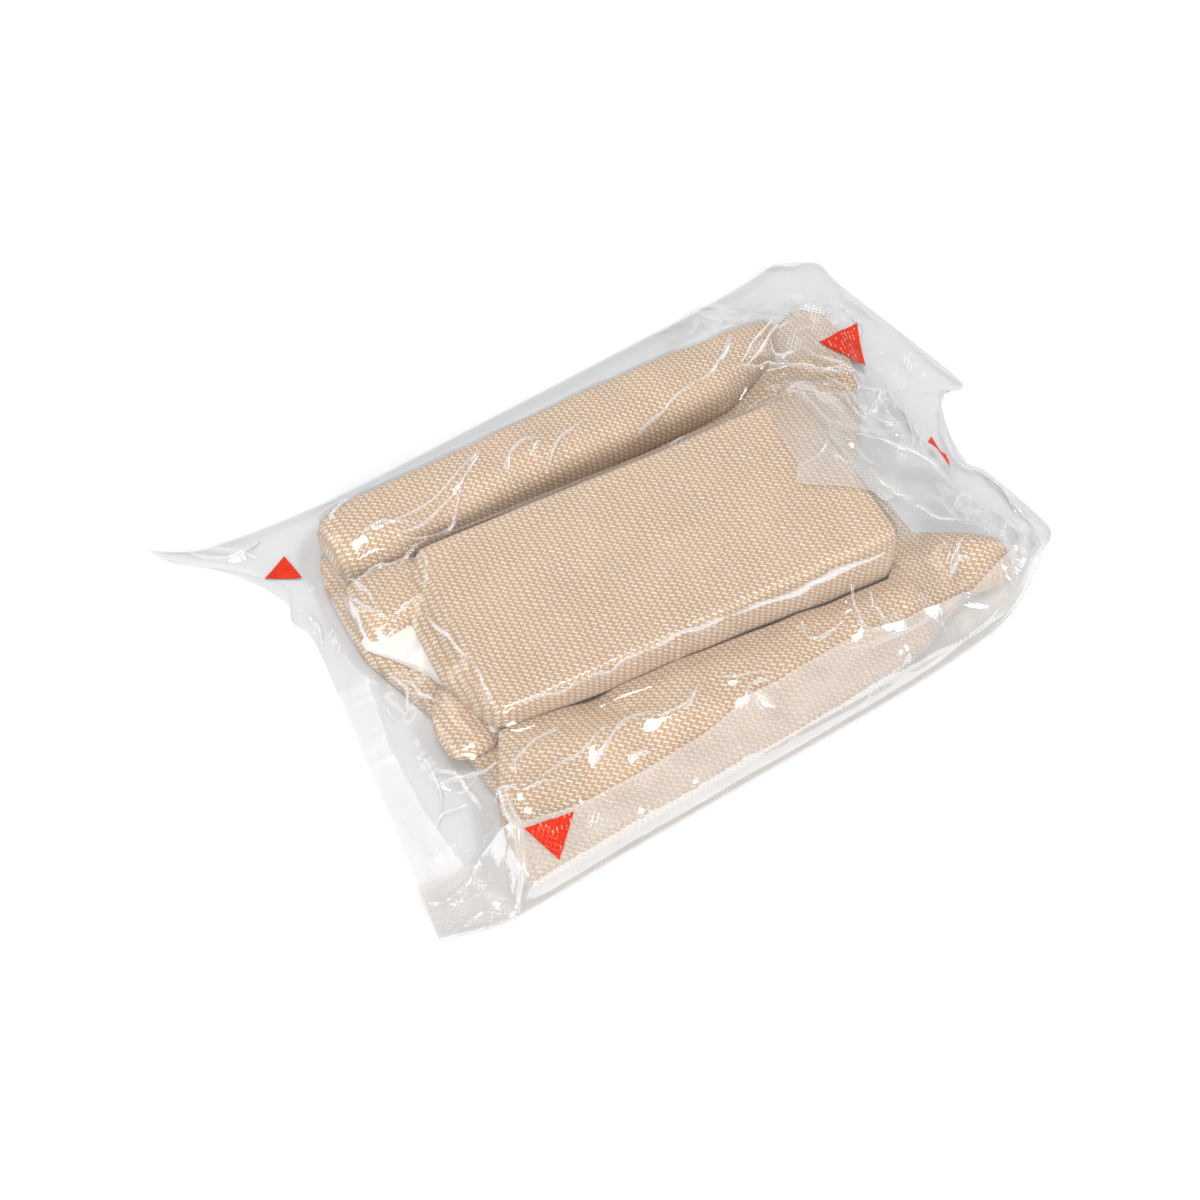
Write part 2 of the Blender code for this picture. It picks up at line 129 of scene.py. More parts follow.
# Curved folds of film and cloth: three points of the crest in mm, the crest's height above
# what lies round it in mm, its half width in mm, and the share that the cloth below takes
FOLDS = (
    # x0, y0, x1, y1, x2, y2, height, half width, cloth share
    # on the back roll
    (14.0, 28.5, 27.0, 32.0, 37.5, 34.5, 0.9, 1.3, 0.0),
    (37.5, 34.5, 47.0, 36.5, 57.0, 44.5, 1.1, 1.4, 0.0),
    (-24.5, 33.5, -18.0, 39.5, -9.5, 38.0, 1.0, 1.6, 0.3),
    (-14.0, 29.5, -6.5, 35.5, 4.0, 38.5, 0.8, 1.1, 0.0),
    (-59.5, 31.5, -47.0, 28.0, -35.5, 38.5, 0.9, 1.0, 0.0),
    (-67.0, 36.0, -63.0, 36.0, -55.0, 33.0, 1.2, 1.6, 0.3),
    (-72.5, 44.0, -69.0, 47.0, -64.5, 47.5, 1.0, 1.2, 0.0),
    # along the block's rims and lower edge
    (14.5, 12.5, 23.0, 15.0, 29.5, 14.5, 0.5, 1.2, 0.0),
    (33.0, 13.0, 41.0, 13.5, 48.0, 10.5, 0.5, 1.2, 0.0),
    # on the left tuck
    (-75.5, 24.5, -69.5, 25.5, -63.5, 24.0, 1.2, 1.5, 0.4),
    (-64.0, 22.5, -57.0, 25.0, -54.0, 26.5, 1.2, 1.3, 0.2),
    (-79.0, 22.5, -80.0, 16.0, -80.5, 10.5, 1.0, 1.2, 0.2),
    (-57.5, 22.0, -59.0, 16.0, -62.5, 11.5, 1.0, 1.0, 0.2),
    # on the front bundle
    (-71.0, -48.5, -67.0, -44.5, -55.0, -42.5, 1.1, 1.4, 0.8),
    (-45.5, -59.0, -42.0, -59.0, -39.5, -60.0, 1.0, 1.6, 0.4),
    (14.0, -48.5, 14.0, -55.0, 23.5, -53.5, 1.3, 1.2, 0.6),
    (30.0, -48.5, 27.0, -58.0, 31.0, -61.5, 1.3, 1.2, 0.6),
    (32.5, -60.5, 33.0, -55.0, 34.0, -51.0, 1.0, 1.1, 0.4),
    # on the folded margin
    (19.5, -59.5, 32.5, -63.5, 58.0, -61.0, 1.0, 1.1, 0.0),
    # at the bundle's right end
    (57.0, -56.5, 62.0, -53.5, 65.5, -54.5, 1.2, 1.3, 0.6),
    # on the back roll
    (79.5, 49.5, 66.0, 41.5, 52.5, 34.0, 1.3, 0.8, 0.0),
    (82.0, 48.0, 68.0, 40.0, 54.0, 32.5, 1.1, 0.8, 0.0),
    # in the back right and front left corners
    (77.5, 36.0, 79.5, 30.0, 86.5, 18.0, 2.6, 1.8, 0.5),
    (67.5, 39.0, 66.5, 34.0, 74.0, 35.5, 1.6, 1.4, 0.3),
    (60.0, 30.0, 69.5, 26.0, 84.0, 20.5, 2.6, 1.5, 0.6),
    (60.0, 26.0, 69.5, 22.5, 82.0, 17.0, -1.4, 1.3, 1.0),
    # in the pocket at the back right
    (86.0, 52.5, 94.0, 52.0, 99.0, 45.5, 1.6, 1.1, 0.0),
    # between the right corners
    (74.0, 1.0, 82.0, 6.5, 91.0, 14.5, 2.4, 1.5, 0.0),
    (88.5, 2.5, 90.0, 8.5, 92.5, 15.5, 1.8, 1.5, 0.0),
    (85.0, 9.5, 87.5, -0.5, 78.0, -14.0, 2.2, 1.2, 0.0),
    (75.5, 21.5, 74.0, 13.0, 73.5, 2.0, 2.2, 1.2, 0.0),
    (73.0, 10.0, 72.0, 5.0, 71.5, -2.0, 1.6, 1.0, 0.0),
    # beside the block's right end
    (76.5, -35.5, 83.0, -32.0, 86.5, -38.5, 2.0, 0.9, 0.0),
    (86.5, -38.5, 86.0, -46.0, 77.5, -51.5, 2.0, 1.1, 0.0),
    # in the right margin
    (94.0, -22.0, 95.5, -31.0, 93.5, -43.0, 2.0, 1.3, 0.0),
    (62.0, -8.0, 72.0, -13.0, 84.0, -24.0, 1.8, 1.8, 0.0),
    # in the back left tail
    (-90.0, 56.0, -100.0, 64.5, -111.0, 72.0, 1.6, 1.3, 0.0),
    (-86.0, 62.0, -98.0, 60.0, -106.0, 70.0, 1.2, 1.0, 0.0),
    # in the left margin
    (-86.0, -34.0, -79.0, -36.5, -72.5, -43.0, 1.2, 1.0, 0.0),
    (-84.0, -30.0, -80.0, -37.5, -80.5, -47.5, 1.2, 1.1, 0.0),
    (-85.5, -24.0, -84.5, -31.0, -88.5, -42.5, 0.9, 1.0, 0.0),
    (-91.5, -44.5, -87.5, -42.0, -81.5, -43.0, 0.9, 1.0, 0.0),
    (-89.0, 34.5, -87.5, 27.0, -90.0, 19.0, 1.2, 1.2, 0.0),
    # on the back roll
    (-60.5, 32.5, -46.5, 32.5, -27.5, 43.0, 0.9, 1.1, 0.0),
    (-63.5, 35.0, -47.0, 36.0, -27.0, 44.0, 0.9, 1.1, 0.0),
    (-15.5, 32.5, -13.5, 37.0, -11.0, 37.5, 0.8, 0.9, 0.0),
    # on the left tuck
    (-79.0, 21.0, -76.0, 13.5, -73.0, 9.5, 1.1, 1.1, 0.2),
    (-73.0, 9.0, -68.5, 11.0, -64.5, 11.0, 1.0, 1.0, 0.2),
    (-77.0, 28.0, -75.0, 22.0, -75.0, 15.5, 1.0, 1.0, 0.0),
    # along the block's left end
    (-66.0, 5.0, -65.0, -7.5, -64.5, -15.5, 0.9, 0.8, 0.0),
    (-64.0, -18.5, -65.0, -23.5, -66.0, -29.0, 0.9, 0.9, 0.0),
    # in the left margin
    (-79.5, -1.5, -79.0, -7.0, -81.5, -12.5, 1.0, 0.9, 0.0),
    (-78.0, -4.0, -76.5, -10.0, -75.5, -17.0, 1.0, 0.9, 0.0),
    (-83.5, -4.0, -85.0, -7.5, -84.5, -12.0, 0.9, 0.8, 0.0),
    # on the front bundle
    (-78.5, -51.0, -75.0, -50.5, -72.5, -53.5, 1.0, 1.1, 0.3),
    (-72.5, -53.5, -67.5, -54.0, -63.0, -55.0, 0.9, 0.9, 0.0),
    (-67.5, -52.5, -55.0, -51.5, -45.5, -48.5, 1.0, 1.0, 0.3),
    (-53.5, -56.5, -41.5, -50.5, -33.0, -52.0, 1.2, 1.2, 0.5),
    (-33.5, -52.5, -26.5, -54.5, -19.0, -50.5, 1.3, 1.3, 0.5),
    # in the back right and front left corners
    (-76.5, -49.0, -78.5, -59.0, -81.0, -66.5, 1.3, 1.2, 0.0),
    (-80.5, -65.5, -84.0, -71.5, -88.5, -76.0, 1.2, 1.1, 0.0),
    (-75.5, -51.0, -77.5, -62.0, -80.0, -67.5, 1.1, 1.0, 0.0),
    (-79.5, -66.5, -82.0, -70.0, -87.5, -75.5, 1.0, 1.0, 0.0),
    # on the front bundle
    (-13.5, -51.0, -8.5, -54.0, -1.5, -56.5, 1.0, 1.0, 0.2),
    (-9.0, -57.5, -9.5, -62.0, -8.0, -66.0, 1.2, 1.1, 0.4),
    (-9.5, -58.0, -6.5, -57.5, -3.0, -58.5, 1.1, 1.0, 0.3),
    # behind the block's right end
    (68.5, 11.0, 70.0, 6.5, 68.0, 1.5, 1.2, 1.1, 0.0),
    (70.0, 3.5, 68.5, -0.5, 68.5, -4.0, 1.1, 1.0, 0.0),
    (44.5, 22.5, 49.5, 20.5, 52.5, 16.5, 0.8, 0.9, 0.0),
    (42.5, 18.0, 46.0, 17.5, 49.5, 16.0, 0.8, 0.9, 0.0),
    # beside the block's right end
    (56.0, -22.5, 57.5, -29.0, 61.5, -33.0, 1.3, 1.0, 0.0),
    (61.5, -33.0, 66.0, -40.0, 72.5, -41.0, 1.3, 1.0, 0.0),
    # at the bundle's right end
    (87.0, -44.0, 84.0, -53.0, 78.0, -59.0, 1.6, 1.1, 0.0),
    (94.0, -29.0, 95.0, -40.5, 93.0, -53.0, 1.5, 1.2, 0.0),
    # on the pleat
    (49.5, -9.0, 45.5, -13.5, 35.0, -14.5, 1.1, 0.9, 0.0),
    (48.0, -14.5, 48.0, -19.0, 51.0, -22.5, 1.0, 1.0, 0.0),
    # at the bundle's right end
    (61.0, -45.5, 61.0, -50.0, 57.5, -53.5, 1.1, 0.9, 0.3),
    (57.5, -55.5, 63.0, -51.0, 68.0, -48.5, 1.1, 0.9, 0.3),
    # in the pocket at the back right
    (50.5, 34.0, 62.5, 30.5, 75.0, 23.5, 1.8, 1.1, 0.4),
    (74.0, 23.0, 80.0, 23.5, 83.5, 20.0, 1.8, 1.1, 0.3),
    (84.0, 21.0, 82.5, 16.0, 78.5, 11.5, 1.6, 1.0, 0.0),
    (97.0, 56.5, 102.5, 50.5, 102.5, 46.5, 1.5, 1.2, 0.0),
    (102.5, 46.5, 103.0, 40.0, 100.0, 35.0, 1.4, 1.0, 0.0),
    (97.5, 46.0, 96.5, 43.5, 98.0, 42.0, 1.2, 0.9, 0.0),
    # between the right corners
    (82.5, 7.0, 77.5, 2.0, 73.0, 0.0, 1.6, 1.0, 0.0),
    (89.0, 2.0, 86.5, -6.0, 83.5, -12.0, 1.6, 1.2, 0.0),
    (74.5, -1.5, 79.5, -3.0, 85.0, -1.5, 1.4, 1.1, 0.0),
    # along the block's rims and lower edge
    (-63.5, -32.5, -54.5, -35.5, -44.0, -37.0, 0.9, 0.8, 0.0),
    (-44.0, -37.0, -36.0, -38.0, -27.5, -38.5, 0.9, 0.8, 0.0),
    (-27.5, -38.5, -16.0, -40.0, -4.0, -41.5, 0.8, 0.8, 0.0),
    (-4.0, -41.5, 16.0, -44.5, 40.0, -47.5, 0.8, 0.8, 0.0),
)

# Upper contours of the bundles from front to back: share of the depth, share of the height
BLOCK_CONTOUR = (
    (0.0, 0.0), (-0.012, 0.25), (-0.014, 0.6), (-0.008, 0.86), (0.004, 0.95), (0.022, 0.985),
    (0.06, 1.0), (0.3, 1.005), (0.7, 1.0), (0.95, 0.985), (0.985, 0.95), (1.004, 0.84),
    (1.03, 0.55), (1.05, 0.25), (1.05, 0.0),
)
ROLL_CONTOUR = (
    (0.02, 0.0), (-0.01, 0.22), (0.03, 0.5), (0.16, 0.76), (0.36, 0.93), (0.6, 1.0), (0.84, 0.97),
    (0.95, 0.8), (1.0, 0.5), (1.01, 0.2), (0.98, 0.0),
)
WING_CONTOUR = (
    (0.16, 0.0), (0.15, -0.42), (0.05, -0.44), (0.0, -0.22), (0.01, 0.08), (0.07, 0.3),
    (0.22, 0.54), (0.38, 0.78), (0.5, 0.94), (0.62, 1.0), (0.78, 0.95), (0.9, 0.84), (0.97, 0.76),
    (0.992, 0.66), (1.0, 0.5), (1.0, 0.0),
)
TUCK_CONTOUR = (
    (0.0, 0.0), (-0.01, 0.3), (0.04, 0.62), (0.16, 0.86), (0.4, 0.98), (0.7, 1.0), (0.9, 0.9),
    (0.99, 0.66), (1.0, 0.3), (0.99, 0.0),
)
SLAB_CONTOUR = (
    (0.005, 0.0), (0.0, 0.45), (0.006, 0.8), (0.02, 0.96), (0.05, 1.0), (0.5, 1.0), (0.95, 1.0),
    (0.98, 0.96), (0.994, 0.8), (1.0, 0.45), (0.995, 0.0),
)

# Sections of the bundles in mm, left to right: place along, front, back, height of the top
BLOCK_SECTIONS = (
    # in the block's own turned frame, from its middle
    (-66.2, -8.0, 12.0, 0.9), (-65.6, -12.0, 14.5, 2.0), (-64.2, -16.5, 17.5, 3.6),
    (-62.4, -21.0, 20.5, 5.0), (-60.6, -25.0, 23.5, 6.6), (-59.2, -27.2, 25.5, 7.9),
    (-58.0, -28.4, 26.8, 8.7), (-56.6, -28.9, 27.6, 9.0), (-54.0, -29.0, 28.0, 9.2),
    (-27.0, -29.0, 28.0, 11.9), (0.0, -28.4, 27.5, 14.6), (13.0, -27.6, 27.5, 15.7),
    (27.0, -28.0, 28.0, 17.1), (48.0, -27.6, 28.4, 18.9), (52.4, -27.4, 28.2, 19.1),
    (53.6, -27.0, 27.8, 18.9), (54.3, -26.2, 27.0, 18.2), (54.7, -25.0, 26.0, 16.4),
    (54.9, -23.6, 24.8, 12.6),
)
ROLL_SECTIONS = (
    (-76.0, 37.0, 46.0, 4.0), (-75.4, 34.0, 48.4, 7.0), (-73.8, 31.2, 50.0, 9.6),
    (-70.0, 29.4, 50.8, 11.6), (-62.0, 28.9, 50.6, 12.6), (-46.0, 30.2, 50.2, 12.4),
    (-20.0, 29.6, 50.4, 13.0), (10.0, 28.8, 50.9, 12.8), (36.0, 28.6, 50.6, 13.0),
    (47.0, 29.2, 49.6, 12.6), (56.0, 32.6, 48.8, 12.2), (66.0, 37.6, 48.4, 11.0),
    (71.0, 40.4, 48.2, 9.4), (73.4, 42.6, 47.4, 6.6), (74.0, 44.0, 46.6, 4.6),
)
WING_SECTIONS = (
    (-81.6, -70.5, -64.6, 2.6), (-81.2, -71.6, -61.6, 4.2), (-80.2, -72.4, -58.0, 5.6),
    (-77.0, -72.2, -50.6, 7.4), (-72.0, -72.2, -41.6, 8.4), (-67.0, -72.2, -33.3, 8.4),
    (-62.0, -72.2, -33.4, 8.2), (-54.4, -72.0, -34.5, 8.2), (-43.0, -71.6, -35.9, 8.0),
    (-27.0, -71.2, -38.0, 8.6), (-8.0, -70.8, -40.5, 8.2), (9.0, -70.4, -42.8, 8.2),
    (19.0, -70.2, -44.1, 7.8), (31.0, -69.6, -45.7, 8.2), (43.7, -66.6, -47.2, 8.0),
    (46.8, -65.4, -44.2, 7.9), (49.0, -64.4, -38.0, 7.8), (53.4, -62.4, -35.6, 7.6),
    (56.0, -61.4, -35.2, 7.2), (60.0, -60.4, -37.8, 7.2), (66.0, -60.0, -41.6, 7.4),
    (70.0, -60.4, -44.4, 7.6), (74.0, -60.4, -47.6, 7.0), (77.0, -59.6, -49.8, 5.6),
    (78.2, -58.0, -51.4, 3.2),
)
TUCK_SECTIONS = (
    (-80.0, 13.6, 23.8, 3.4), (-79.4, 10.6, 26.2, 5.6), (-77.0, 8.9, 27.6, 7.6),
    (-72.0, 8.7, 28.2, 8.4), (-66.0, 8.9, 28.2, 8.5), (-60.0, 9.6, 27.8, 8.0),
    (-57.6, 10.6, 27.0, 6.4), (-57.0, 12.4, 26.0, 4.4),
)
SLAB_SECTIONS = (
    (-82.2, 10.0, 15.0, 1.4), (-81.4, 6.0, 26.0, 2.6), (-80.2, 1.0, 36.0, 3.4),
    (-79.0, -4.0, 41.0, 3.9), (-77.2, -12.0, 44.6, 4.2), (-75.4, -20.0, 45.4, 4.2),
    (-74.6, -45.0, 45.8, 4.2), (-73.6, -62.0, 46.0, 4.2), (-72.0, -64.0, 46.2, 4.2),
    (-60.0, -64.8, 46.6, 4.2), (40.0, -63.0, 47.0, 4.2), (58.0, -57.6, 47.0, 4.2),
    (62.0, -50.0, 47.0, 4.2), (64.0, -24.0, 46.8, 4.2), (67.0, -4.0, 47.4, 4.2),
    (74.0, 2.6, 49.4, 4.2), (82.0, 14.0, 52.6, 4.2), (87.0, 22.0, 54.0, 4.0),
    (90.0, 29.0, 53.2, 3.6), (93.6, 37.4, 50.6, 2.8), (95.6, 40.6, 48.6, 1.6),
)
PAD_SECTIONS = (
    (-81.6, 9.8, 12.4, 0.5), (-80.6, 8.2, 13.0, 1.1), (-78.0, 4.4, 13.4, 1.9),
    (-74.6, -1.4, 13.2, 2.5), (-71.4, -7.6, 12.6, 2.8), (-69.6, -18.0, 11.0, 2.9),
    (-68.4, -31.6, 9.6, 2.9), (-19.0, -33.0, 9.0, 3.1), (35.0, -32.0, 8.0, 2.8),
    (37.0, -29.6, 5.6, 1.8),
)
SIDE_FOLD_SECTIONS = (
    # the small fold of the wrap that lies before the block's left end
    (-79.6, -29.4, -25.6, 1.0), (-79.0, -31.4, -21.8, 2.2), (-77.0, -33.2, -17.0, 3.4),
    (-73.0, -34.2, -12.6, 4.0), (-69.0, -34.0, -11.0, 3.8), (-66.8, -32.6, -12.0, 3.0),
    (-66.0, -30.8, -14.0, 1.8),
)
BLOCK_TURN = math.radians(-7.5)

# Corners of the printed tear marks in mm: the two ends of the base, then the tip
MARKS = (
    # mark, end of the piece name, base end, base end, tip, notch share
    ("front_left", "", (-77.0, -62.4), (-65.5, -63.6), (-72.8, -71.6), 0.10),
    ("front_left", "_second", (-73.6, -62.8), (-63.7, -63.5), (-71.6, -70.6), 0.10),
    ("back_right", "", (85.0, 37.8), (101.8, 40.6), (91.8, 23.6), 0.0),
    ("back_right", "_second", (86.4, 37.0), (99.8, 39.2), (90.4, 25.0), 0.0),
    ("back_left", "", (-92.0, 49.2), (-84.0, 53.5), (-83.4, 43.7), 0.0),
    ("front_right", "", (86.4, -11.6), (89.6, -9.6), (87.8, -15.6), 0.0),
    ("front_right", "_second", (89.0, -17.5), (86.6, -22.0), (87.4, -14.6), 0.0),
)

# Free edge of the folded front margin, in mm
FLAP_EDGE = (
    (-103.0, -57.0), (-81.0, -58.5), (-75.0, -61.0), (-62.0, -62.5), (-43.0, -63.0),
    (-28.0, -62.4), (-10.0, -59.9), (20.0, -58.9), (34.0, -60.9), (61.0, -61.0), (78.0, -57.0),
    (92.0, -50.0),
)

# Lamps: name, place, width, height, power. Small facets of the film throw back the first
OVERHEAD = (-0.12, -0.05, 1.0)
LAMPS = (
    ("overhead", OVERHEAD, 0.30, 0.30, 4.5),
    ("back_left", (-0.85, 0.55, 0.75), 0.30, 0.9, 2.0),
    ("right_side", (0.95, -0.25, 0.55), 0.4, 0.7, 1.5),
    ("camera_side", (-0.6, -1.0, 0.75), 0.56, 0.44, 11.2),
)
WORLD_COLOUR = (0.93, 0.96, 1.0, 1.0)
WORLD_STRENGTH = 0.66
FLOOR_COLOUR = (0.80, 0.80, 0.80, 1.0)

CAMERA_TARGET = Vector((-19.35, -5.4, 0.0)) * MM
CAMERA_AZIMUTH = math.radians(32.5)
CAMERA_ELEVATION = math.radians(52.0)
CAMERA_DISTANCE = 0.496
CAMERA_LENS = 55.5

# How fast a facet's slope changes over a metre, and how far it stands out of the film
FACET_DOME = 60.0
FACET_LIFT = 0.6

# Facets of the folded margin and of the upper film that shine: place and half widths in mm
MARGIN_FACETS = (
    (-49.0, -71.0, 1.9, 1.7), (-33.2, -70.8, 1.8, 1.6), (-56.2, -71.4, 1.3, 1.2),
    (32.9, -67.4, 1.7, 1.6), (-68.2, -71.0, 1.0, 1.5),
)
FILM_FACETS = (
    (82.0, 9.5, 1.5, 3.6), (78.0, 18.5, 1.7, 1.5), (80.5, 14.0, 1.0, 1.6), (98.0, 0.5, 1.5, 2.4),
    (93.5, 8.5, 0.9, 2.6), (56.0, -13.0, 1.6, 2.2), (59.5, 31.5, 2.8, 1.1),
    (83.5, -52.0, 0.9, 3.0), (75.5, -39.0, 0.9, 1.2), (53.0, 27.5, 3.0, 0.8),
    (77.5, -8.0, 2.4, 1.6), (-43.0, -59.5, 2.6, 1.3), (-73.0, -58.5, 2.2, 1.2),
    (-56.5, -43.0, 2.2, 1.1), (-66.0, -38.5, 1.1, 1.5), (-60.5, -62.0, 1.1, 1.5),
    (-18.5, -48.5, 1.1, 1.8),
)

# Inner edge of the frosted seal along the left margin, in mm, front to back
SEAL_INNER = (
    (-90.0, -72.0), (-91.0, -52.0), (-91.5, -38.0), (-89.5, -17.0), (-84.0, 5.0), (-82.0, 12.0),
)

# Clouded or pressed places of the upper film: outline in mm, soft edge in mm, cloudiness,
# strength of the mesh and of its painted rib highlights
HAZY_PLACES = (
    (((60.0, 30.0), (92.0, 34.0), (99.0, 44.0), (88.0, 53.0), (78.0, 46.0)), 5.0, 0.15, 0.6),
    (((78.5, 45.5), (90.5, 40.0), (102.5, 50.5), (92.5, 62.0), (83.5, 59.5)), 4.0, 0.10, 1.0),
    (((92.0, 18.5), (100.0, 8.5), (108.5, 8.0), (108.5, 29.0), (100.0, 34.5)), 5.0, 0.04, 1.0),
    (((69.0, -20.5), (76.0, -22.0), (83.0, -11.5), (73.5, -11.0)), 4.0, 0.06, 1.0),
    (((73.0, -49.0), (79.0, -58.0), (87.0, -43.0), (83.0, -35.5)), 3.5, 0.05, 1.0),
    (((57.5, -23.5), (61.5, -29.0), (64.0, -18.5), (62.0, -12.0)), 5.0, 0.06, 0.7),
    (
        ((-100.5, -69.0), (-97.5, -73.0), (-87.0, -72.5), (-80.5, -56.0), (-93.5, -50.5)),
        6.0, 0.08, 0.9,
    ),
    (((-92.0, -60.0), (-86.0, -60.0), (-80.0, 40.0), (-92.0, 20.0)), 8.0, 0.02, 0.0),
)

# The two long sides of the pleat over the right end of the centre fold, in mm, front to back
PLEAT_NEAR = ((50.0, -34.6), (41.5, -26.0), (33.6, -18.9), (37.0, -13.6), (40.0, -2.0), (43.3, 9.4))
PLEAT_FAR = ((63.0, -29.0), (66.0, -24.0), (70.0, -14.0), (74.0, -4.0), (72.0, 8.0), (62.0, 18.0))
PLEAT_COLUMNS = 110
PLEAT_ROWS = 90

# Materials: second colours, how clear the film is in its face and at its cut rim, its gloss
# the milky colours serve the film's haze and also its painted highlights
FILM_MILK = (0.88, 0.85, 0.82)
FOLDED_MILK = (0.74, 0.67, 0.61)
FILM_VEIL = 0.03
FILM_THROUGH = (0.976, 0.976, 0.976, 1.0)
RIM_THROUGH = (0.92, 0.92, 0.92, 1.0)
FILM_IOR = 1.53
GLOSS_LIMIT = 0.44
PRINT_SECOND = (0.68, 0.040, 0.006, 1.0)
# pale colour of the painted highlights on the print's mesh
PRINT_GLINT = (0.90, 0.60, 0.52, 1.0)
MESH_PITCH = 1.15 * MM
RIBS_PITCH = 1.3 * MM


def length_property(name, description, default):
    return FloatProperty(name=name, description=description, default=default, unit="LENGTH")


def colour_property(name, description, default):
    return FloatVectorProperty(
        name=name, description=description, default=default, subtype="COLOR", min=0.0, max=1.0
    )


class BandageSizes(bpy.types.PropertyGroup):
    """Sizes of the visible cloth and film"""

    rib_pitch: length_property("Rib spacing", "Distance between ribs of the knit", RIB_PITCH)
    stitch_pitch: length_property("Stitch length", "Length of one zigzag stitch", STITCH_PITCH)
    film_clearance: length_property("Film clearance", "Gap from the cloth to the film", FILM_CLEAR)


class BandageColours(bpy.types.PropertyGroup):
    """Colours of the cloth, the pad and the print"""

    ground: colour_property("Knit ground", "Colour of the beige yarn", (0.53, 0.345, 0.20))
    thread: colour_property("Zigzag thread", "Colour of the pale zigzag", (0.90, 0.85, 0.77))
    pad: colour_property("Pad", "Colour of the nonwoven pad", (0.88, 0.855, 0.80))
    print_red: colour_property("Tear marks", "Colour of the printed marks", (0.58, 0.018, 0.003))


def sizes():
    return bpy.context.scene.bandage_sizes


def colours():
    return bpy.context.scene.bandage_colours


# Mesh making
def grid_faces(rows, columns, closed=False):
    """Quads of a grid whose points run row by row; closed joins the last column to the first."""
    across = columns if closed else columns - 1
    j, i = np.meshgrid(np.arange(rows - 1), np.arange(across), indexing="ij")
    ahead = (i + 1) % columns
    here, above = j * columns, (j + 1) * columns
    quads = np.stack([here + i, here + ahead, above + ahead, above + i])
    return quads.reshape(4, -1).T


def new_piece(name, points, quads, uv, caps=()):
    """A smooth mesh object with its own UV map, made from arrays."""
    mesh = bpy.data.meshes.new(name)
    faces = [tuple(quad) for quad in quads.tolist()] + [tuple(cap) for cap in caps]
    mesh.from_pydata([tuple(point) for point in points.tolist()], [], faces)
    layer = mesh.uv_layers.new(name="Cloth")
    corner = np.empty(len(mesh.loops), np.int32)
    mesh.loops.foreach_get("vertex_index", corner)
    layer.data.foreach_set("uv", uv[corner].astype(np.float32).ravel())
    mesh.shade_smooth()
    made = bpy.data.objects.new(name, mesh)
    bpy.context.scene.collection.objects.link(made)
    return made


def turn_outward(piece):
    """Recalculates a closed piece's normals so that they point out."""
    bpy.ops.object.select_all(action="DESELECT")
    piece.select_set(True)
    bpy.context.view_layer.objects.active = piece
    bpy.ops.object.mode_set(mode="EDIT")
    bpy.ops.mesh.select_all(action="SELECT")
    bpy.ops.mesh.normals_make_consistent(inside=False)
    bpy.ops.object.mode_set(mode="OBJECT")
    piece.select_set(False)


def ease(low, high, value):
    """Smooth step from 0 at low to 1 at high."""
    t = np.clip((value - low) / (high - low), 0.0, 1.0)
    return t * t * (3 - 2 * t)


def bell(away, width):
    """A bell curve: 1 at no distance, falling off over the given half width."""
    return np.exp(-((away / width) ** 2))


def through(points, count):
    """Evenly spaced points on a smooth curve through a short list of points."""
    p = np.array(points, float)
    p = np.vstack([2 * p[0] - p[1], p, 2 * p[-1] - p[-2]])
    fine = []
    for k in range(1, len(p) - 2):
        t = np.linspace(0, 1, 24, endpoint=False)[:, None]
        a, b, c, d = p[k - 1], p[k], p[k + 1], p[k + 2]
        fine.append(
            b + 0.35 * (c - a) * t
            + (3 * (c - b) - 0.35 * (2 * (c - a) + (d - b))) * t**2
            + (2 * (b - c) + 0.35 * ((c - a) + (d - b))) * t**3
        )
    fine = np.vstack(fine + [p[-2:-1]])
    walked = way_along(fine)
    return points_at(np.linspace(0, walked[-1], count), walked, fine)


def way_along(line):
    """The way walked along a line up to each of its points."""
    return np.concatenate([[0], np.cumsum(np.linalg.norm(np.diff(line, axis=0), axis=1))])


def points_at(at, walked, line):
    """Points of a line after the given ways along it."""
    return np.stack([np.interp(at, walked, line[:, axis]) for axis in range(line.shape[1])], axis=1)


def waves(x, y, seed, pitch):
    """Soft seeded lumps, about -1 to 1, of roughly the given pitch."""
    rng = np.random.default_rng(seed)
    total = np.zeros_like(x)
    for _ in range(7):
        angle, phase = rng.uniform(0, math.pi), rng.uniform(0, 2 * math.pi)
        length = pitch * rng.uniform(0.7, 1.6)
        total += np.sin((x * math.cos(angle) + y * math.sin(angle)) * 2 * math.pi / length + phase)
    return total / 3.5


def crest_curve(ends, count, unit=1.0):
    """Points of a fold's crest: the curve through its three given points."""
    a, b, c = np.array(ends).reshape(3, 2) * unit
    t = np.linspace(0, 1, count)[:, None]
    return (1 - t) ** 2 * a + 2 * t * (1 - t) * (2 * b - (a + c) / 2) + t**2 * c


def fold_relief(x, y, widen, on_cloth=False):
    """Height of the folds at x, y, widened by the factor widen; cloth takes its own share."""
    total = np.zeros_like(x)
    for *ends, height, width, cloth_share in FOLDS:
        amount = height * (cloth_share if on_cloth else 1.0)
        if amount == 0.0:
            continue
        width = width * widen
        crest = crest_curve(ends, 13)
        near = np.full_like(x, FAR)
        along = np.zeros_like(x)
        for k in range(len(crest) - 1):
            a, b = crest[k] * MM, crest[k + 1] * MM
            ab = b - a
            share = np.clip(((x - a[0]) * ab[0] + (y - a[1]) * ab[1]) / (ab @ ab), 0, 1)
            away = np.hypot(x - a[0] - share * ab[0], y - a[1] - share * ab[1])
            closer = away < near
            near = np.where(closer, away, near)
            along = np.where(closer, (k + share) / (len(crest) - 1), along)
        fade = np.sin(np.pi * np.clip(along * 0.9 + 0.05, 0, 1)) ** 0.6
        total += amount * MM * fade * bell(near, width * MM)
    return total


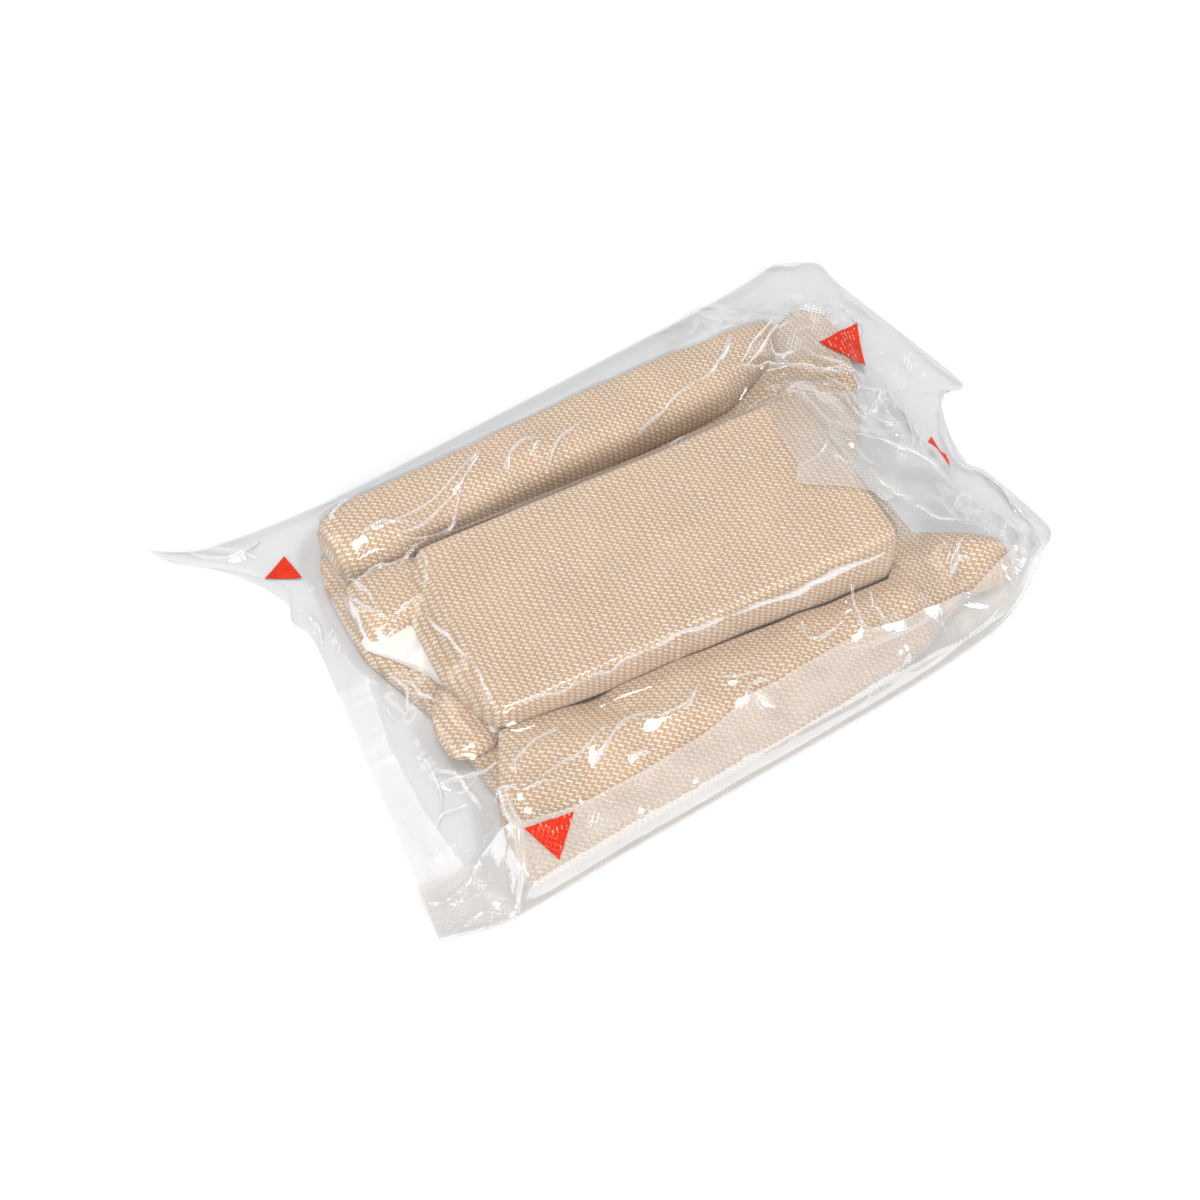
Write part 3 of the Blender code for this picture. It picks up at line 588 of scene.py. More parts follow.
# Cloth bundles
def bundle(
    name, sections, contour, bottom, seed, stations, around, lumps,
    turn=0.0, middle=(0.0, 0.0), shape=None,
):
    """A folded bundle lofted left to right through its sections, from the height bottom up."""
    rows = np.array(sections) * MM
    low, high = rows[0, 0], rows[-1, 0]
    close_to_ends = np.array([0.001, 0.003, 0.006, 0.994, 0.997, 0.999])
    along = np.concatenate([np.linspace(low, high, stations), low + (high - low) * close_to_ends])
    along = np.sort(along)
    upper = through(contour, around)
    under = around // 4
    lower = np.linspace(upper[-1], upper[0], under)[1:-1]
    loop = np.vstack([upper, lower])
    front, back, top = (np.interp(along, rows[:, 0], rows[:, k])[:, None] for k in (1, 2, 3))
    x = np.repeat(along[:, None], len(loop), axis=1)
    y = front + loop[None, :, 0] * (back - front)
    z = top * loop[None, :, 1]
    if shape:
        x, y, z = shape(x, y, z)
    step = np.hypot(np.diff(y, axis=1), np.diff(z, axis=1))
    walked = np.concatenate([np.zeros((len(along), 1)), np.cumsum(step, axis=1)], axis=1)
    walked = walked + y[:, around // 2][:, None] - walked[:, around // 2][:, None]
    uv = np.stack([x, walked], axis=2).reshape(-1, 2)
    placed_x = middle[0] + x * math.cos(turn) - y * math.sin(turn)
    placed_y = middle[1] + x * math.sin(turn) + y * math.cos(turn)
    on_top = ease(0.0, 0.5, loop[None, :, 1]) * np.ones_like(x)
    relief = fold_relief(placed_x, placed_y, CLOTH_WIDEN, on_cloth=True)
    relief = relief + lumps * MM * waves(placed_x, placed_y, seed, 14 * MM)
    placed_z = bottom + z + relief * on_top
    points = np.stack([placed_x, placed_y, placed_z], axis=2).reshape(-1, 3)
    count = len(loop)
    caps = [list(range(count)), [(len(along) - 1) * count + k for k in reversed(range(count))]]
    piece = new_piece(name, points, grid_faces(len(along), count, closed=True), uv, caps)
    turn_outward(piece)
    return piece


# Upright creases in the block's front face: place along it, depth and half width in mm
FACE_CREASES = (
    (-28.0, 0.35, 2.6), (-9.0, -0.4, 1.8), (-5.5, 0.35, 2.4), (14.0, -0.35, 3.2),
    (29.0, -0.4, 2.0), (33.0, 0.35, 2.4),
)
# Grooves between the layers at the block's left end: place along it, depth and half width in mm
LAYER_GROOVES = (
    (-59.4, 0.9, 0.45), (-62.3, 0.9, 0.5), (-64.6, 0.6, 0.4),
)


def block_shape(x, y, z):
    """Grooves between the layers at the block's left end and creases in its front face."""
    for place, depth, width in LAYER_GROOVES:
        wander = place * MM + 0.7 * MM * np.sin(y / (7 * MM)) + 0.3 * MM * np.sin(y / (2.7 * MM))
        z = z - depth * MM * bell(x - wander, width * MM) * ease(1 * MM, 3 * MM, z)
    on_face = (1 - ease(-27.5 * MM, -24 * MM, y)) * ease(0.5 * MM, 3 * MM, z)
    for place, depth, width in FACE_CREASES:
        y = y + on_face * depth * MM * bell(x - place * MM, width * MM)
    return x, y, z


def wing_shape(x, y, z):
    """The hollow of the front bundle beside the block."""
    hollow = bell(x + 41 * MM, 8 * MM) + 0.25 * bell(x + 56 * MM, 7 * MM)
    return x, y, z * (1 - 0.50 * hollow * ease(-50 * MM, -37 * MM, y))


# Film sheets
def side_curve(rows, count):
    """A side of the pouch as evenly spaced points in metres, round its middle."""
    return through(np.array(rows) * (POUCH_LENGTH, POUCH_DEPTH), count)


def pouch_plan(columns, rows):
    """Plan position of every film grid point, blended from the four sides."""
    front, back = side_curve(FRONT_SIDE, columns), side_curve(BACK_SIDE, columns)
    left, right = side_curve(LEFT_SIDE, rows), side_curve(RIGHT_SIDE, rows)
    a = np.linspace(0, 1, columns)[None, :, None]
    t = np.linspace(0, 1, rows)[:, None, None]
    ruled = (1 - t) * front[None] + t * back[None] + (1 - a) * left[:, None] + a * right[:, None]
    flat = (1 - t) * ((1 - a) * front[0] + a * front[-1]) + t * ((1 - a) * back[0] + a * back[-1])
    plan = ruled - flat
    for _ in range(250):
        plan[1:-1, 1:-1] = (plan[:-2, 1:-1] + plan[2:, 1:-1] + plan[1:-1, :-2] + plan[1:-1, 2:]) / 4
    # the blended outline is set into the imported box
    low, high = plan.min((0, 1)), plan.max((0, 1))
    return plan - (low + high) / 2 + np.array(middle_of("pouch_upper_film"))


def middle_of(node):
    """The middle of a solid's box, in plan."""
    low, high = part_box(node)
    return (low.x + high.x) / 2, (low.y + high.y) / 2


def trees_of(pieces):
    """Search trees of the pieces as they are now."""
    graph = bpy.context.evaluated_depsgraph_get()
    return [BVHTree.FromObject(piece, graph) for piece in pieces]


def cast_down(trees, xs, ys):
    """Height of the highest surface under each point of two equal arrays, 0 where there is none."""
    found = np.zeros(xs.shape)
    flat_x, flat_y, out = xs.ravel(), ys.ravel(), found.ravel()
    down = Vector((0, 0, -1))
    for k in range(len(flat_x)):
        origin = Vector((flat_x[k], flat_y[k], 0.2))
        for tree in trees:
            hit = tree.ray_cast(origin, down)[0]
            if hit is not None and hit.z > out[k]:
                out[k] = hit.z
    return found


class FilmMap:
    """Height of the drawn-down upper film over a plain XY grid."""

    def __init__(self, cloth):
        self.x = np.arange(CAD_LOW.x - 4 * MM, CAD_HIGH.x + 4 * MM, MAP_STEP)
        self.y = np.arange(CAD_LOW.y - 4 * MM, CAD_HIGH.y + 4 * MM, MAP_STEP)
        xs, ys = np.meshgrid(self.x, self.y)
        self.cloth = cast_down(trees_of(cloth), xs, ys)
        rest = np.maximum(spread(spread(self.cloth)) + sizes().film_clearance, 0.9 * MM)
        # the film falls off steeply along the bundles and gently past their right ends
        slope = 1.35 - 0.75 * ease(44 * MM, 58 * MM, xs)
        slope = slope + 0.9 * ease(-60 * MM, -52 * MM, ys) * (1 - ease(40 * MM, 50 * MM, xs))
        film = tented(rest, slope * MAP_STEP, 60)
        for _ in range(30):
            film[1:-1, 1:-1] = np.maximum(
                rest[1:-1, 1:-1],
                (film[:-2, 1:-1] + film[2:, 1:-1] + film[1:-1, :-2] + film[1:-1, 2:]) / 4 - SAG,
            )
        loose = ease(0.15 * MM, 1.2 * MM, film - rest)
        margin = 1 - ease(0.2 * MM, 1.0 * MM, self.cloth)
        self.film = film
        self.slack = np.clip(0.10 + 0.6 * loose + 0.5 * margin, 0, 1)
        places = np.array(FILM_FACETS)[:, :2] * MM
        self.facet_heights = loose_heights(self, places[:, 0], places[:, 1])

    def read(self, values, x, y):
        """Smooth reading of one of the map's arrays, by cubic B-splines."""
        fx = np.clip((x - self.x[0]) / MAP_STEP, 1, len(self.x) - 2.001)
        fy = np.clip((y - self.y[0]) / MAP_STEP, 1, len(self.y) - 2.001)
        i, j = fx.astype(int), fy.astype(int)
        across, along = spline_weights(fx - i), spline_weights(fy - j)
        return sum(
            along[n] * sum(across[m] * values[j + n - 1, i + m - 1] for m in range(4))
            for n in range(4)
        )


def spline_weights(u):
    """The four weights of a cubic B-spline at the share u of a cell."""
    second = (3 * u**3 - 6 * u**2 + 4) / 6
    third = (-3 * u**3 + 3 * u**2 + 3 * u + 1) / 6
    return (1 - u) ** 3 / 6, second, third, u**3 / 6


def spread(heights):
    """Heights taken one cell outward and then averaged: smooth and nowhere lower."""
    shifts = [(j, i) for j in (-1, 0, 1) for i in (-1, 0, 1)]
    widest = np.max([np.roll(heights, shift, axis=(0, 1)) for shift in shifts], axis=0)
    return np.mean([np.roll(widest, shift, axis=(0, 1)) for shift in shifts], axis=0)


def tented(heights, drop, rounds):
    """Heights raised so that they fall away by no more than drop from one cell to the next."""
    high = heights.copy()
    for _ in range(rounds):
        for down, across in ((0, 1), (1, 0), (1, 1), (1, -1)):
            reach = math.hypot(down, across)
            for sign in (1, -1):
                moved = np.roll(high, (sign * down, sign * across), axis=(0, 1))
                high = np.maximum(high, moved - reach * drop)
    return high


def crinkle(x, y, seed, pitch):
    """Sharp random creases, 0 to about 1."""
    bent_x = x + 0.35 * pitch * waves(x, y, seed + 50, 3 * pitch)
    bent_y = y + 0.35 * pitch * waves(x, y, seed + 60, 3 * pitch)
    first = 1 - np.abs(waves(bent_x, bent_y, seed, pitch))
    second = 1 - np.abs(waves(bent_x, bent_y, seed + 7, 1.7 * pitch))
    return np.clip(first, 0, 1) ** 6 + 0.8 * np.clip(second, 0, 1) ** 8


def loose_heights(film_map, x, y):
    """Height of the upper film with its folds and crinkles."""
    base = film_map.read(film_map.film, x, y)
    slack = film_map.read(film_map.slack, x, y)
    relief = SWELL * fold_relief(x, y, FILM_WIDEN)
    fine = crinkle(x, y, 3, 19 * MM) * 0.50 * MM * slack
    broad = waves(x, y, 21, 24 * MM) * 0.9 * MM * slack
    return base + relief + fine + broad


def film_heights(film_map, x, y):
    """Height of the upper film with its shining facets too."""
    heights = loose_heights(film_map, x, y)
    for row, centre in zip(FILM_FACETS, film_map.facet_heights):
        heights = with_facet(x, y, heights, row, centre)
    return heights


def with_facet(x, y, heights, row, centre):
    """Heights with one small domed facet, turned to show the overhead lamp to the camera."""
    spot = np.array([row[0] * MM, row[1] * MM, centre])
    halfway = np.zeros(3)
    for target in (np.array(OVERHEAD), np.array(camera_place())):
        halfway += (target - spot) / np.linalg.norm(target - spot)
    slope = -halfway[:2] / halfway[2]
    dx, dy = x - spot[0], y - spot[1]
    away = (dx / (row[2] * MM)) ** 2 + (dy / (row[3] * MM)) ** 2
    raised = centre + FACET_LIFT * np.linalg.norm(slope) * min(row[2:]) * MM
    dome = raised + slope[0] * dx + slope[1] * dy - FACET_DOME * (dx**2 + dy**2) / 2
    return heights + np.exp(-(away**2)) * (dome - heights)


def inside(x, y, corners, soft):
    """1 inside a convex outline given anticlockwise in mm, falling to 0 over the width soft."""
    points = np.array(corners) * MM
    worst = np.full_like(x, -FAR)
    for k in range(len(points)):
        a, b = points[k], points[(k + 1) % len(points)]
        along = (b - a) / np.linalg.norm(b - a)
        worst = np.maximum(worst, (x - a[0]) * along[1] - (y - a[1]) * along[0])
    return 1 - ease(-soft / 2, soft / 2, worst)


def mark_patch(name, first, second, tip, notch_share, trees, steps=26):
    """A printed triangle that follows the film, with a round notch in the middle of its base."""
    a, b, c = (np.array(corner) * MM for corner in (first, second, tip))
    points = []
    for row in range(steps + 1):
        for k in range(row + 1):
            along = k / row if row else 0.0
            points.append(c + (row / steps) * ((1 - along) * a + along * b - c))
    plan = np.array(points)
    middle = (a + b) / 2
    notch = notch_share * np.linalg.norm(b - a)
    away = plan - middle
    near = np.linalg.norm(away, axis=1)
    pushed = near < notch
    plan[pushed] = middle + away[pushed] * (notch / np.maximum(near[pushed], 1e-6))[:, None]
    if notch:
        plan[near < 1e-6] = middle + (c - middle) * notch / np.linalg.norm(c - middle)
    heights = cast_down(trees, plan[:, 0], plan[:, 1])
    faces = []
    for row in range(steps):
        start, below = row * (row + 1) // 2, (row + 1) * (row + 2) // 2
        for k in range(row + 1):
            faces.append((start + k, below + k, below + k + 1))
            if k < row:
                faces.append((start + k, below + k + 1, start + k + 1))
    faces = [face for face in faces if not pushed[list(face)].all()]
    spots = np.column_stack([plan, heights + PRINT_GAP])
    return new_piece(name, spots, np.array(faces), plan)


def mark_attribute(piece, name, values):
    """One value for each point of a piece, which its material reads."""
    layer = piece.data.attributes.new(name, "FLOAT", "POINT")
    layer.data.foreach_set("value", values.astype(np.float32).ravel())


def crest_line(ends):
    """Evenly spaced plan points on a fold's crest, in metres."""
    bent = crest_curve(ends, 60, MM)
    walked = way_along(bent)
    count = max(14, int(walked[-1] / (0.45 * MM)))
    return points_at(np.linspace(0, walked[-1], count), walked, bent)


def pinched_creases(film_map):
    """Narrow pinched ridges of film along the crests of the folds: points, quads and cloudiness,
    partly clouded film and partly painted highlight.
    """
    across = np.linspace(-1, 1, 7)
    points, quads, clouds_and_highlights, count = [], [], [], 0
    for number, (*ends, height, width, _) in enumerate(FOLDS):
        if height <= 0:
            continue
        line = crest_line(ends)
        steps = len(line)
        share = np.linspace(0, 1, steps)
        heading = np.gradient(line, axis=0)
        heading /= np.linalg.norm(heading, axis=1)[:, None]
        side = np.stack([-heading[:, 1], heading[:, 0]], axis=1)
        taper = np.sin(np.pi * np.clip(share, 0.004, 0.996)) ** 0.55
        vary = 1 + 0.22 * np.sin(share * 9 + number) + 0.12 * np.sin(share * 23 + 2 * number)
        wander = 0.25 * MM * np.sin(share * 11 + 3 * number) * taper
        half = PINCH_WIDTH * width * MM * (0.35 + 0.65 * taper) * vary
        shift = across[None, :, None] * half[:, None, None] + wander[:, None, None]
        spot = line[:, None] + side[:, None] * shift
        x, y = spot[:, :, 0], spot[:, :, 1]
        rise = PINCH_HEIGHT * height * MM * (taper * vary)[:, None] * (1 - across[None] ** 2)
        z = film_heights(film_map, x, y) + rise - 0.02 * MM
        points.append(np.stack([x, y, z], axis=2).reshape(-1, 3))
        # milky along each crest: partly clouding of the pinched film, partly painted highlight
        clouds_and_highlights.append((0.34 * taper[:, None] * (1 - across[None] ** 2) ** 2).ravel())
        quads.append(grid_faces(steps, len(across)) + count)
        count += steps * len(across)
    return np.vstack(points), np.vstack(quads), np.concatenate(clouds_and_highlights)


def upper_film(film_map):
    """The top sheet, drawn down over the cloth, with the pinched ridges of its folds."""
    plan = pouch_plan(FILM_COLUMNS, FILM_ROWS)
    x, y = plan[:, :, 0], plan[:, :, 1]
    a = np.linspace(0, 1, FILM_COLUMNS)[None, :] * np.ones_like(x)
    t = np.linspace(0, 1, FILM_ROWS)[:, None] * np.ones_like(x)
    heights = film_heights(film_map, x, y)
    edge = np.minimum(np.minimum(a, 1 - a) * POUCH_LENGTH, np.minimum(t, 1 - t) * POUCH_DEPTH)
    heights = SEAL_HEIGHT + (heights - SEAL_HEIGHT) * ease(0.0, 2.5 * MM, edge)
    heights = np.maximum(heights, film_map.read(film_map.cloth, x, y) + TOP_GAP)
    # the right margin stands up a little before its outer edge
    upward = ease(0.86, 0.97, a) * (1 - ease(0.97, 1.0, a))
    heights += np.maximum(upward * (1.6 + 1.2 * waves(x, y, 41, 26 * MM)) * MM, 0)
    points = np.stack([x, y, heights], axis=2).reshape(-1, 3)
    ridges, ridge_quads, ridge_clouds_and_highlights = pinched_creases(film_map)
    every = np.vstack([points, ridges])
    quads = np.vstack([grid_faces(FILM_ROWS, FILM_COLUMNS), ridge_quads + len(points)])
    piece = new_piece("pouch_top_film", every, quads, every[:, :2])
    haze = np.zeros_like(x)
    emboss = np.zeros_like(x)
    # the strength of the mesh also sets its painted rib highlights
    for corners, soft, cloudy, mesh_and_glints in HAZY_PLACES:
        place = inside(x, y, corners, soft * MM)
        haze = np.maximum(haze, cloudy * place)
        emboss = np.maximum(emboss, mesh_and_glints * place)
    plain = np.zeros(len(ridges))
    for name, values, on_ridges in (
        ("seal", seal_band(x, y), plain),
        ("haze", haze, ridge_clouds_and_highlights),
        ("emboss", emboss, plain),
        ("rim", 1 - ease(0.3 * MM, 1.0 * MM, edge), plain),
    ):
        mark_attribute(piece, name, np.concatenate([values.ravel(), on_ridges]))
    return piece


def seal_band(x, y):
    """The frosted band along the left margin."""
    inner_x, inner_y = np.array(SEAL_INNER).T * MM
    band = 1 - ease(-0.4 * MM, 0.4 * MM, x - np.interp(y, inner_y, inner_x))
    return band * (1 - ease(3 * MM, 7 * MM, y)) * ease(-64 * MM, -54 * MM, y)


def pleat_film(film_map):
    """A pleat of the upper film folded flat over the right end of the centre fold."""
    near = through(np.array(PLEAT_NEAR) * MM, PLEAT_ROWS)
    far = through(np.array(PLEAT_FAR) * MM, PLEAT_ROWS)
    a = np.linspace(0, 1, PLEAT_COLUMNS)[None, :, None]
    plan = near[:, None] * (1 - a) + far[:, None] * a
    x, y = plan[:, :, 0], plan[:, :, 1]
    share = np.linspace(0, 1, PLEAT_COLUMNS)[None, :] * np.ones_like(x)
    side = np.linspace(0, 1, PLEAT_ROWS)[:, None] * np.ones_like(x)
    border = np.minimum(share, np.minimum(side, 1 - side) * 1.5)
    heights = film_heights(film_map, x, y)
    lifted = 0.30 * MM + 0.45 * MM * bell(share, 0.05) * (1 - ease(0.4, 0.8, side))
    lifted = lifted + 0.3 * MM * ease(0.5, 1.0, share)
    creased = 0.25 * MM * crinkle(x, y, 33, 22 * MM)
    heights = heights + lifted + creased + 0.25 * MM * waves(x, y, 37, 18 * MM)
    points = np.stack([x, y, heights], axis=2).reshape(-1, 3)
    faces = grid_faces(PLEAT_ROWS, PLEAT_COLUMNS)
    piece = new_piece("pouch_pleat_film", points, faces, points[:, :2])
    cloudy = 0.20 * (1 - 0.8 * ease(0.50, 0.95, side)) * (1 - 0.8 * ease(0.6, 1.0, share))
    rim = 0.35 * (1 - ease(0.0, 0.012, border))
    rim = rim * (1 - ease(0.35, 0.6, share)) * (1 - ease(0.5, 0.8, side))
    mark_attribute(piece, "seal", np.zeros_like(x))
    mark_attribute(piece, "haze", cloudy)
    mark_attribute(piece, "emboss", np.zeros_like(x))
    mark_attribute(piece, "rim", rim)
    return piece


def lower_film(film_map):
    """The bottom sheet with its front margin folded up and laid back over the front bundle."""
    plan = pouch_plan(FILM_COLUMNS, UNDER_ROWS)
    bottom = np.dstack([plan, np.full(plan.shape[:2], UNDER_HEIGHT)])
    x, fold_y = plan[0].T
    edge = np.array(FLAP_EDGE) * MM
    free_y = np.interp(x, edge[:, 0], edge[:, 1])
    free_y = np.maximum(free_y, fold_y + 6 * MM)
    rows = []
    for share in np.arange(FLAP_ROWS) / (FLAP_ROWS - 1):
        y = fold_y + (free_y - fold_y) * share
        z = film_heights(film_map, x, y) + 0.3 * MM
        z = z + 0.15 * MM * crinkle(x, y, 90, 16 * MM) + 0.4 * MM * ease(0.5, 1.0, share)
        z = 1.3 * MM + (z - 1.3 * MM) * ease(0.0, 2.4 * MM, y - fold_y)
        z = np.maximum(z, film_map.read(film_map.cloth, x, y) + FLAP_GAP)
        rows.append(np.stack([x, y, z], axis=1))
    over = np.array(rows)
    for row in MARGIN_FACETS:
        away = np.hypot(over[:, :, 0] - row[0] * MM, over[:, :, 1] - row[1] * MM)
        centre = over[:, :, 2].ravel()[np.argmin(away)]
        over[:, :, 2] = with_facet(over[:, :, 0], over[:, :, 1], over[:, :, 2], row, centre)
    bend = []
    for angle in np.radians((30.0, 0.0, -30.0, -60.0)):
        height = (0.72 + 0.57 * math.sin(angle)) * MM
        out = BEND_RADIUS * math.cos(angle)
        bend.append(np.column_stack([x, fold_y - out, np.full(FILM_COLUMNS, height)]))
    grid = np.concatenate([over[::-1], np.array(bend), bottom], axis=0)
    points = grid.reshape(-1, 3)
    faces = grid_faces(len(grid), FILM_COLUMNS)
    piece = new_piece("pouch_bottom_film", points, faces, points[:, :2])
    flap = np.zeros(grid.shape[:2])
    flap[: FLAP_ROWS + 2] = 1.0
    back = np.clip(1 - np.arange(len(grid)) / (FLAP_ROWS - 1), 0, 1)[:, None]
    rim = np.zeros(grid.shape[:2])
    rim[FLAP_ROWS : FLAP_ROWS + 3] = 0.2
    for border in (rim[:2], rim[-2:], rim[FLAP_ROWS:, :1], rim[FLAP_ROWS:, -1:]):
        border[:] = 1.0
    mark_attribute(piece, "seal", np.zeros(grid.shape[:2]))
    mark_attribute(piece, "haze", 0.36 * flap * (0.72 + 0.28 * ease(0.08, 0.40, back)))
    mark_attribute(piece, "emboss", 0.15 * flap)
    mark_attribute(piece, "rim", rim)
    return piece


# Materials
class Nodes:
    """Short calls for building one material's node tree."""

    def __init__(self, name):
        self.material = bpy.data.materials.new(name)
        self.material.use_nodes = True
        self.tree = self.material.node_tree
        self.tree.nodes.clear()
        self.output = self.tree.nodes.new("ShaderNodeOutputMaterial")

    def add(self, kind, **settings):
        node = self.tree.nodes.new(kind)
        for key, value in settings.items():
            setattr(node, key, value)
        return node

    def link(self, source, target):
        self.tree.links.new(source, target)

    def feed(self, node, values):
        """Gives a node's inputs their values: a plain one is set, an output is linked."""
        for socket, value in values.items():
            if isinstance(value, (int, float, tuple)):
                node.inputs[socket].default_value = value
            else:
                self.link(value, node.inputs[socket])
        return node

    def math(self, operation, *values, clamp=False):
        node = self.add("ShaderNodeMath", operation=operation, use_clamp=clamp)
        return self.feed(node, dict(enumerate(values))).outputs[0]

    def plus(self, first, second, clamp=False):
        return self.math("ADD", first, second, clamp=clamp)

    def minus(self, first, second):
        return self.math("SUBTRACT", first, second)

    def times(self, first, second, clamp=False):
        return self.math("MULTIPLY", first, second, clamp=clamp)

    def mix(self, factor, first, second):
        node = self.add("ShaderNodeMix", data_type="RGBA")
        return self.feed(node, {0: factor, 6: first, 7: second}).outputs[2]

    def noise(self, vector, scale, detail=2.0, roughness=0.5):
        values = {"Vector": vector, "Scale": scale, "Detail": detail, "Roughness": roughness}
        return self.feed(self.add("ShaderNodeTexNoise"), values).outputs["Fac"]

    def smooth(self, value, low, high):
        """Smooth step from 0 at low to 1 at high."""
        node = self.add("ShaderNodeMapRange", interpolation_type="SMOOTHSTEP")
        return self.feed(node, {"Value": value, "From Min": low, "From Max": high}).outputs[0]

    def attribute(self, name):
        return self.add("ShaderNodeAttribute", attribute_name=name).outputs["Fac"]

    def place(self):
        return self.add("ShaderNodeTexCoord").outputs["Object"]

    def parts(self, vector):
        return self.feed(self.add("ShaderNodeSeparateXYZ"), {0: vector}).outputs

    def bump(self, height, strength, distance):
        values = {"Height": height, "Strength": strength, "Distance": distance}
        return self.feed(self.add("ShaderNodeBump"), values).outputs[0]

    def shader(self, kind, values):
        return self.feed(self.add("ShaderNode" + kind), values).outputs[0]

    def finish(self, surface):
        self.link(surface, self.output.inputs[0])
        return self.material


def stroke(n, across, along, start, end):
    """Distance from a point in a stitch's cell to a straight stroke between two places in it."""
    run = (end[0] - start[0], end[1] - start[1])
    square = run[0] ** 2 + run[1] ** 2
    from_x, from_y = n.minus(across, start[0]), n.minus(along, start[1])
    dot = n.plus(n.times(from_x, run[0] / square), n.times(from_y, run[1] / square))
    share = n.math("MINIMUM", n.math("MAXIMUM", dot, 0.0), 1.0)
    off_x, off_y = n.minus(from_x, n.times(share, run[0])), n.minus(from_y, n.times(share, run[1]))
    return n.math("SQRT", n.plus(n.times(off_x, off_x), n.times(off_y, off_y)))


def tinted(colour, factor):
    """A colour made darker or lighter, as a node takes it."""
    return (*(min(1.0, factor * part) for part in colour), 1.0)


def knit_material(name):
    """Beige knit with pale zigzag threads, one to a rib, from the piece's own UV in metres."""
    n = Nodes(name)
    uv = n.add("ShaderNodeUVMap", uv_map="Cloth").outputs[0]
    parts = n.parts(uv)
    wander = n.times(n.minus(n.noise(uv, 90.0), 0.5), 1.3)
    jitter = n.times(n.minus(n.noise(uv, 800.0, 1.0), 0.5), 0.55)
    u = n.plus(n.math("DIVIDE", parts[0], sizes().rib_pitch), n.times(wander, 0.8))
    v = n.plus(n.math("DIVIDE", parts[1], sizes().stitch_pitch), n.plus(wander, jitter))
    rib = n.minus(n.math("FRACT", u), 0.5)
    step = n.math("FRACT", v)
    # a bold dash down across the rib, then a thinner link back to the start of the next dash
    dash = stroke(n, rib, step, (-0.28, 0.76), (0.28, 0.26))
    link = stroke(n, rib, step, (0.28, 0.26), (-0.28, -0.24))
    link_above = stroke(n, rib, step, (0.28, 1.26), (-0.28, 0.76))
    thin = n.math("MINIMUM", link, link_above)
    bold = n.minus(1.0, n.smooth(dash, 0.05, 0.18))
    slim = n.times(n.minus(1.0, n.smooth(thin, 0.02, 0.14)), 0.62)
    hairs = n.noise(uv, 4200.0, 2.0, 0.6)
    uneven = n.plus(0.55, n.times(hairs, 0.75))
    thread = n.times(n.math("MAXIMUM", bold, slim), uneven, clamp=True)
    turned = n.times(n.plus(n.times(v, 2.0), u), math.pi)
    loops = n.math("ABSOLUTE", n.math("SINE", turned))
    yarn = colours().ground
    pale = tinted(colours().thread, 1.0)
    base = n.mix(n.smooth(loops, 0.05, 0.7), tinted(yarn, 0.86), tinted(yarn, 1.0))
    fade = n.times(n.smooth(n.noise(uv, 55.0, 3.0), 0.35, 0.7), 0.6)
    base = n.mix(fade, base, tinted(yarn, 1.12))
    mixed = n.mix(thread, base, pale)
    fuzzy = n.mix(n.times(n.smooth(hairs, 0.58, 0.8), 0.22), mixed, pale)
    height = n.plus(n.times(thread, 0.6), n.plus(n.times(loops, 0.45), n.times(hairs, 0.3)))
    return n.finish(n.shader("BsdfPrincipled", {
        "Base Color": fuzzy,
        "Roughness": 0.9,
        "Specular IOR Level": 0.25,
        "Sheen Weight": 0.25,
        "Sheen Roughness": 0.5,
        "Normal": n.bump(height, 0.55, 0.35 * MM),
    }))


def pad_material():
    """White nonwoven fibres, a little cloudy."""
    n = Nodes("nonwoven_pad")
    place = n.place()
    white = colours().pad
    cloud = n.smooth(n.noise(place, 120.0, 3.0), 0.35, 0.7)
    return n.finish(n.shader("BsdfPrincipled", {
        "Base Color": n.mix(cloud, tinted(white, 1.0), tinted(white, 0.90)),
        "Roughness": 0.85,
        "Normal": n.bump(n.noise(place, 1400.0, 4.0, 0.6), 0.5, 0.2 * MM),
    }))


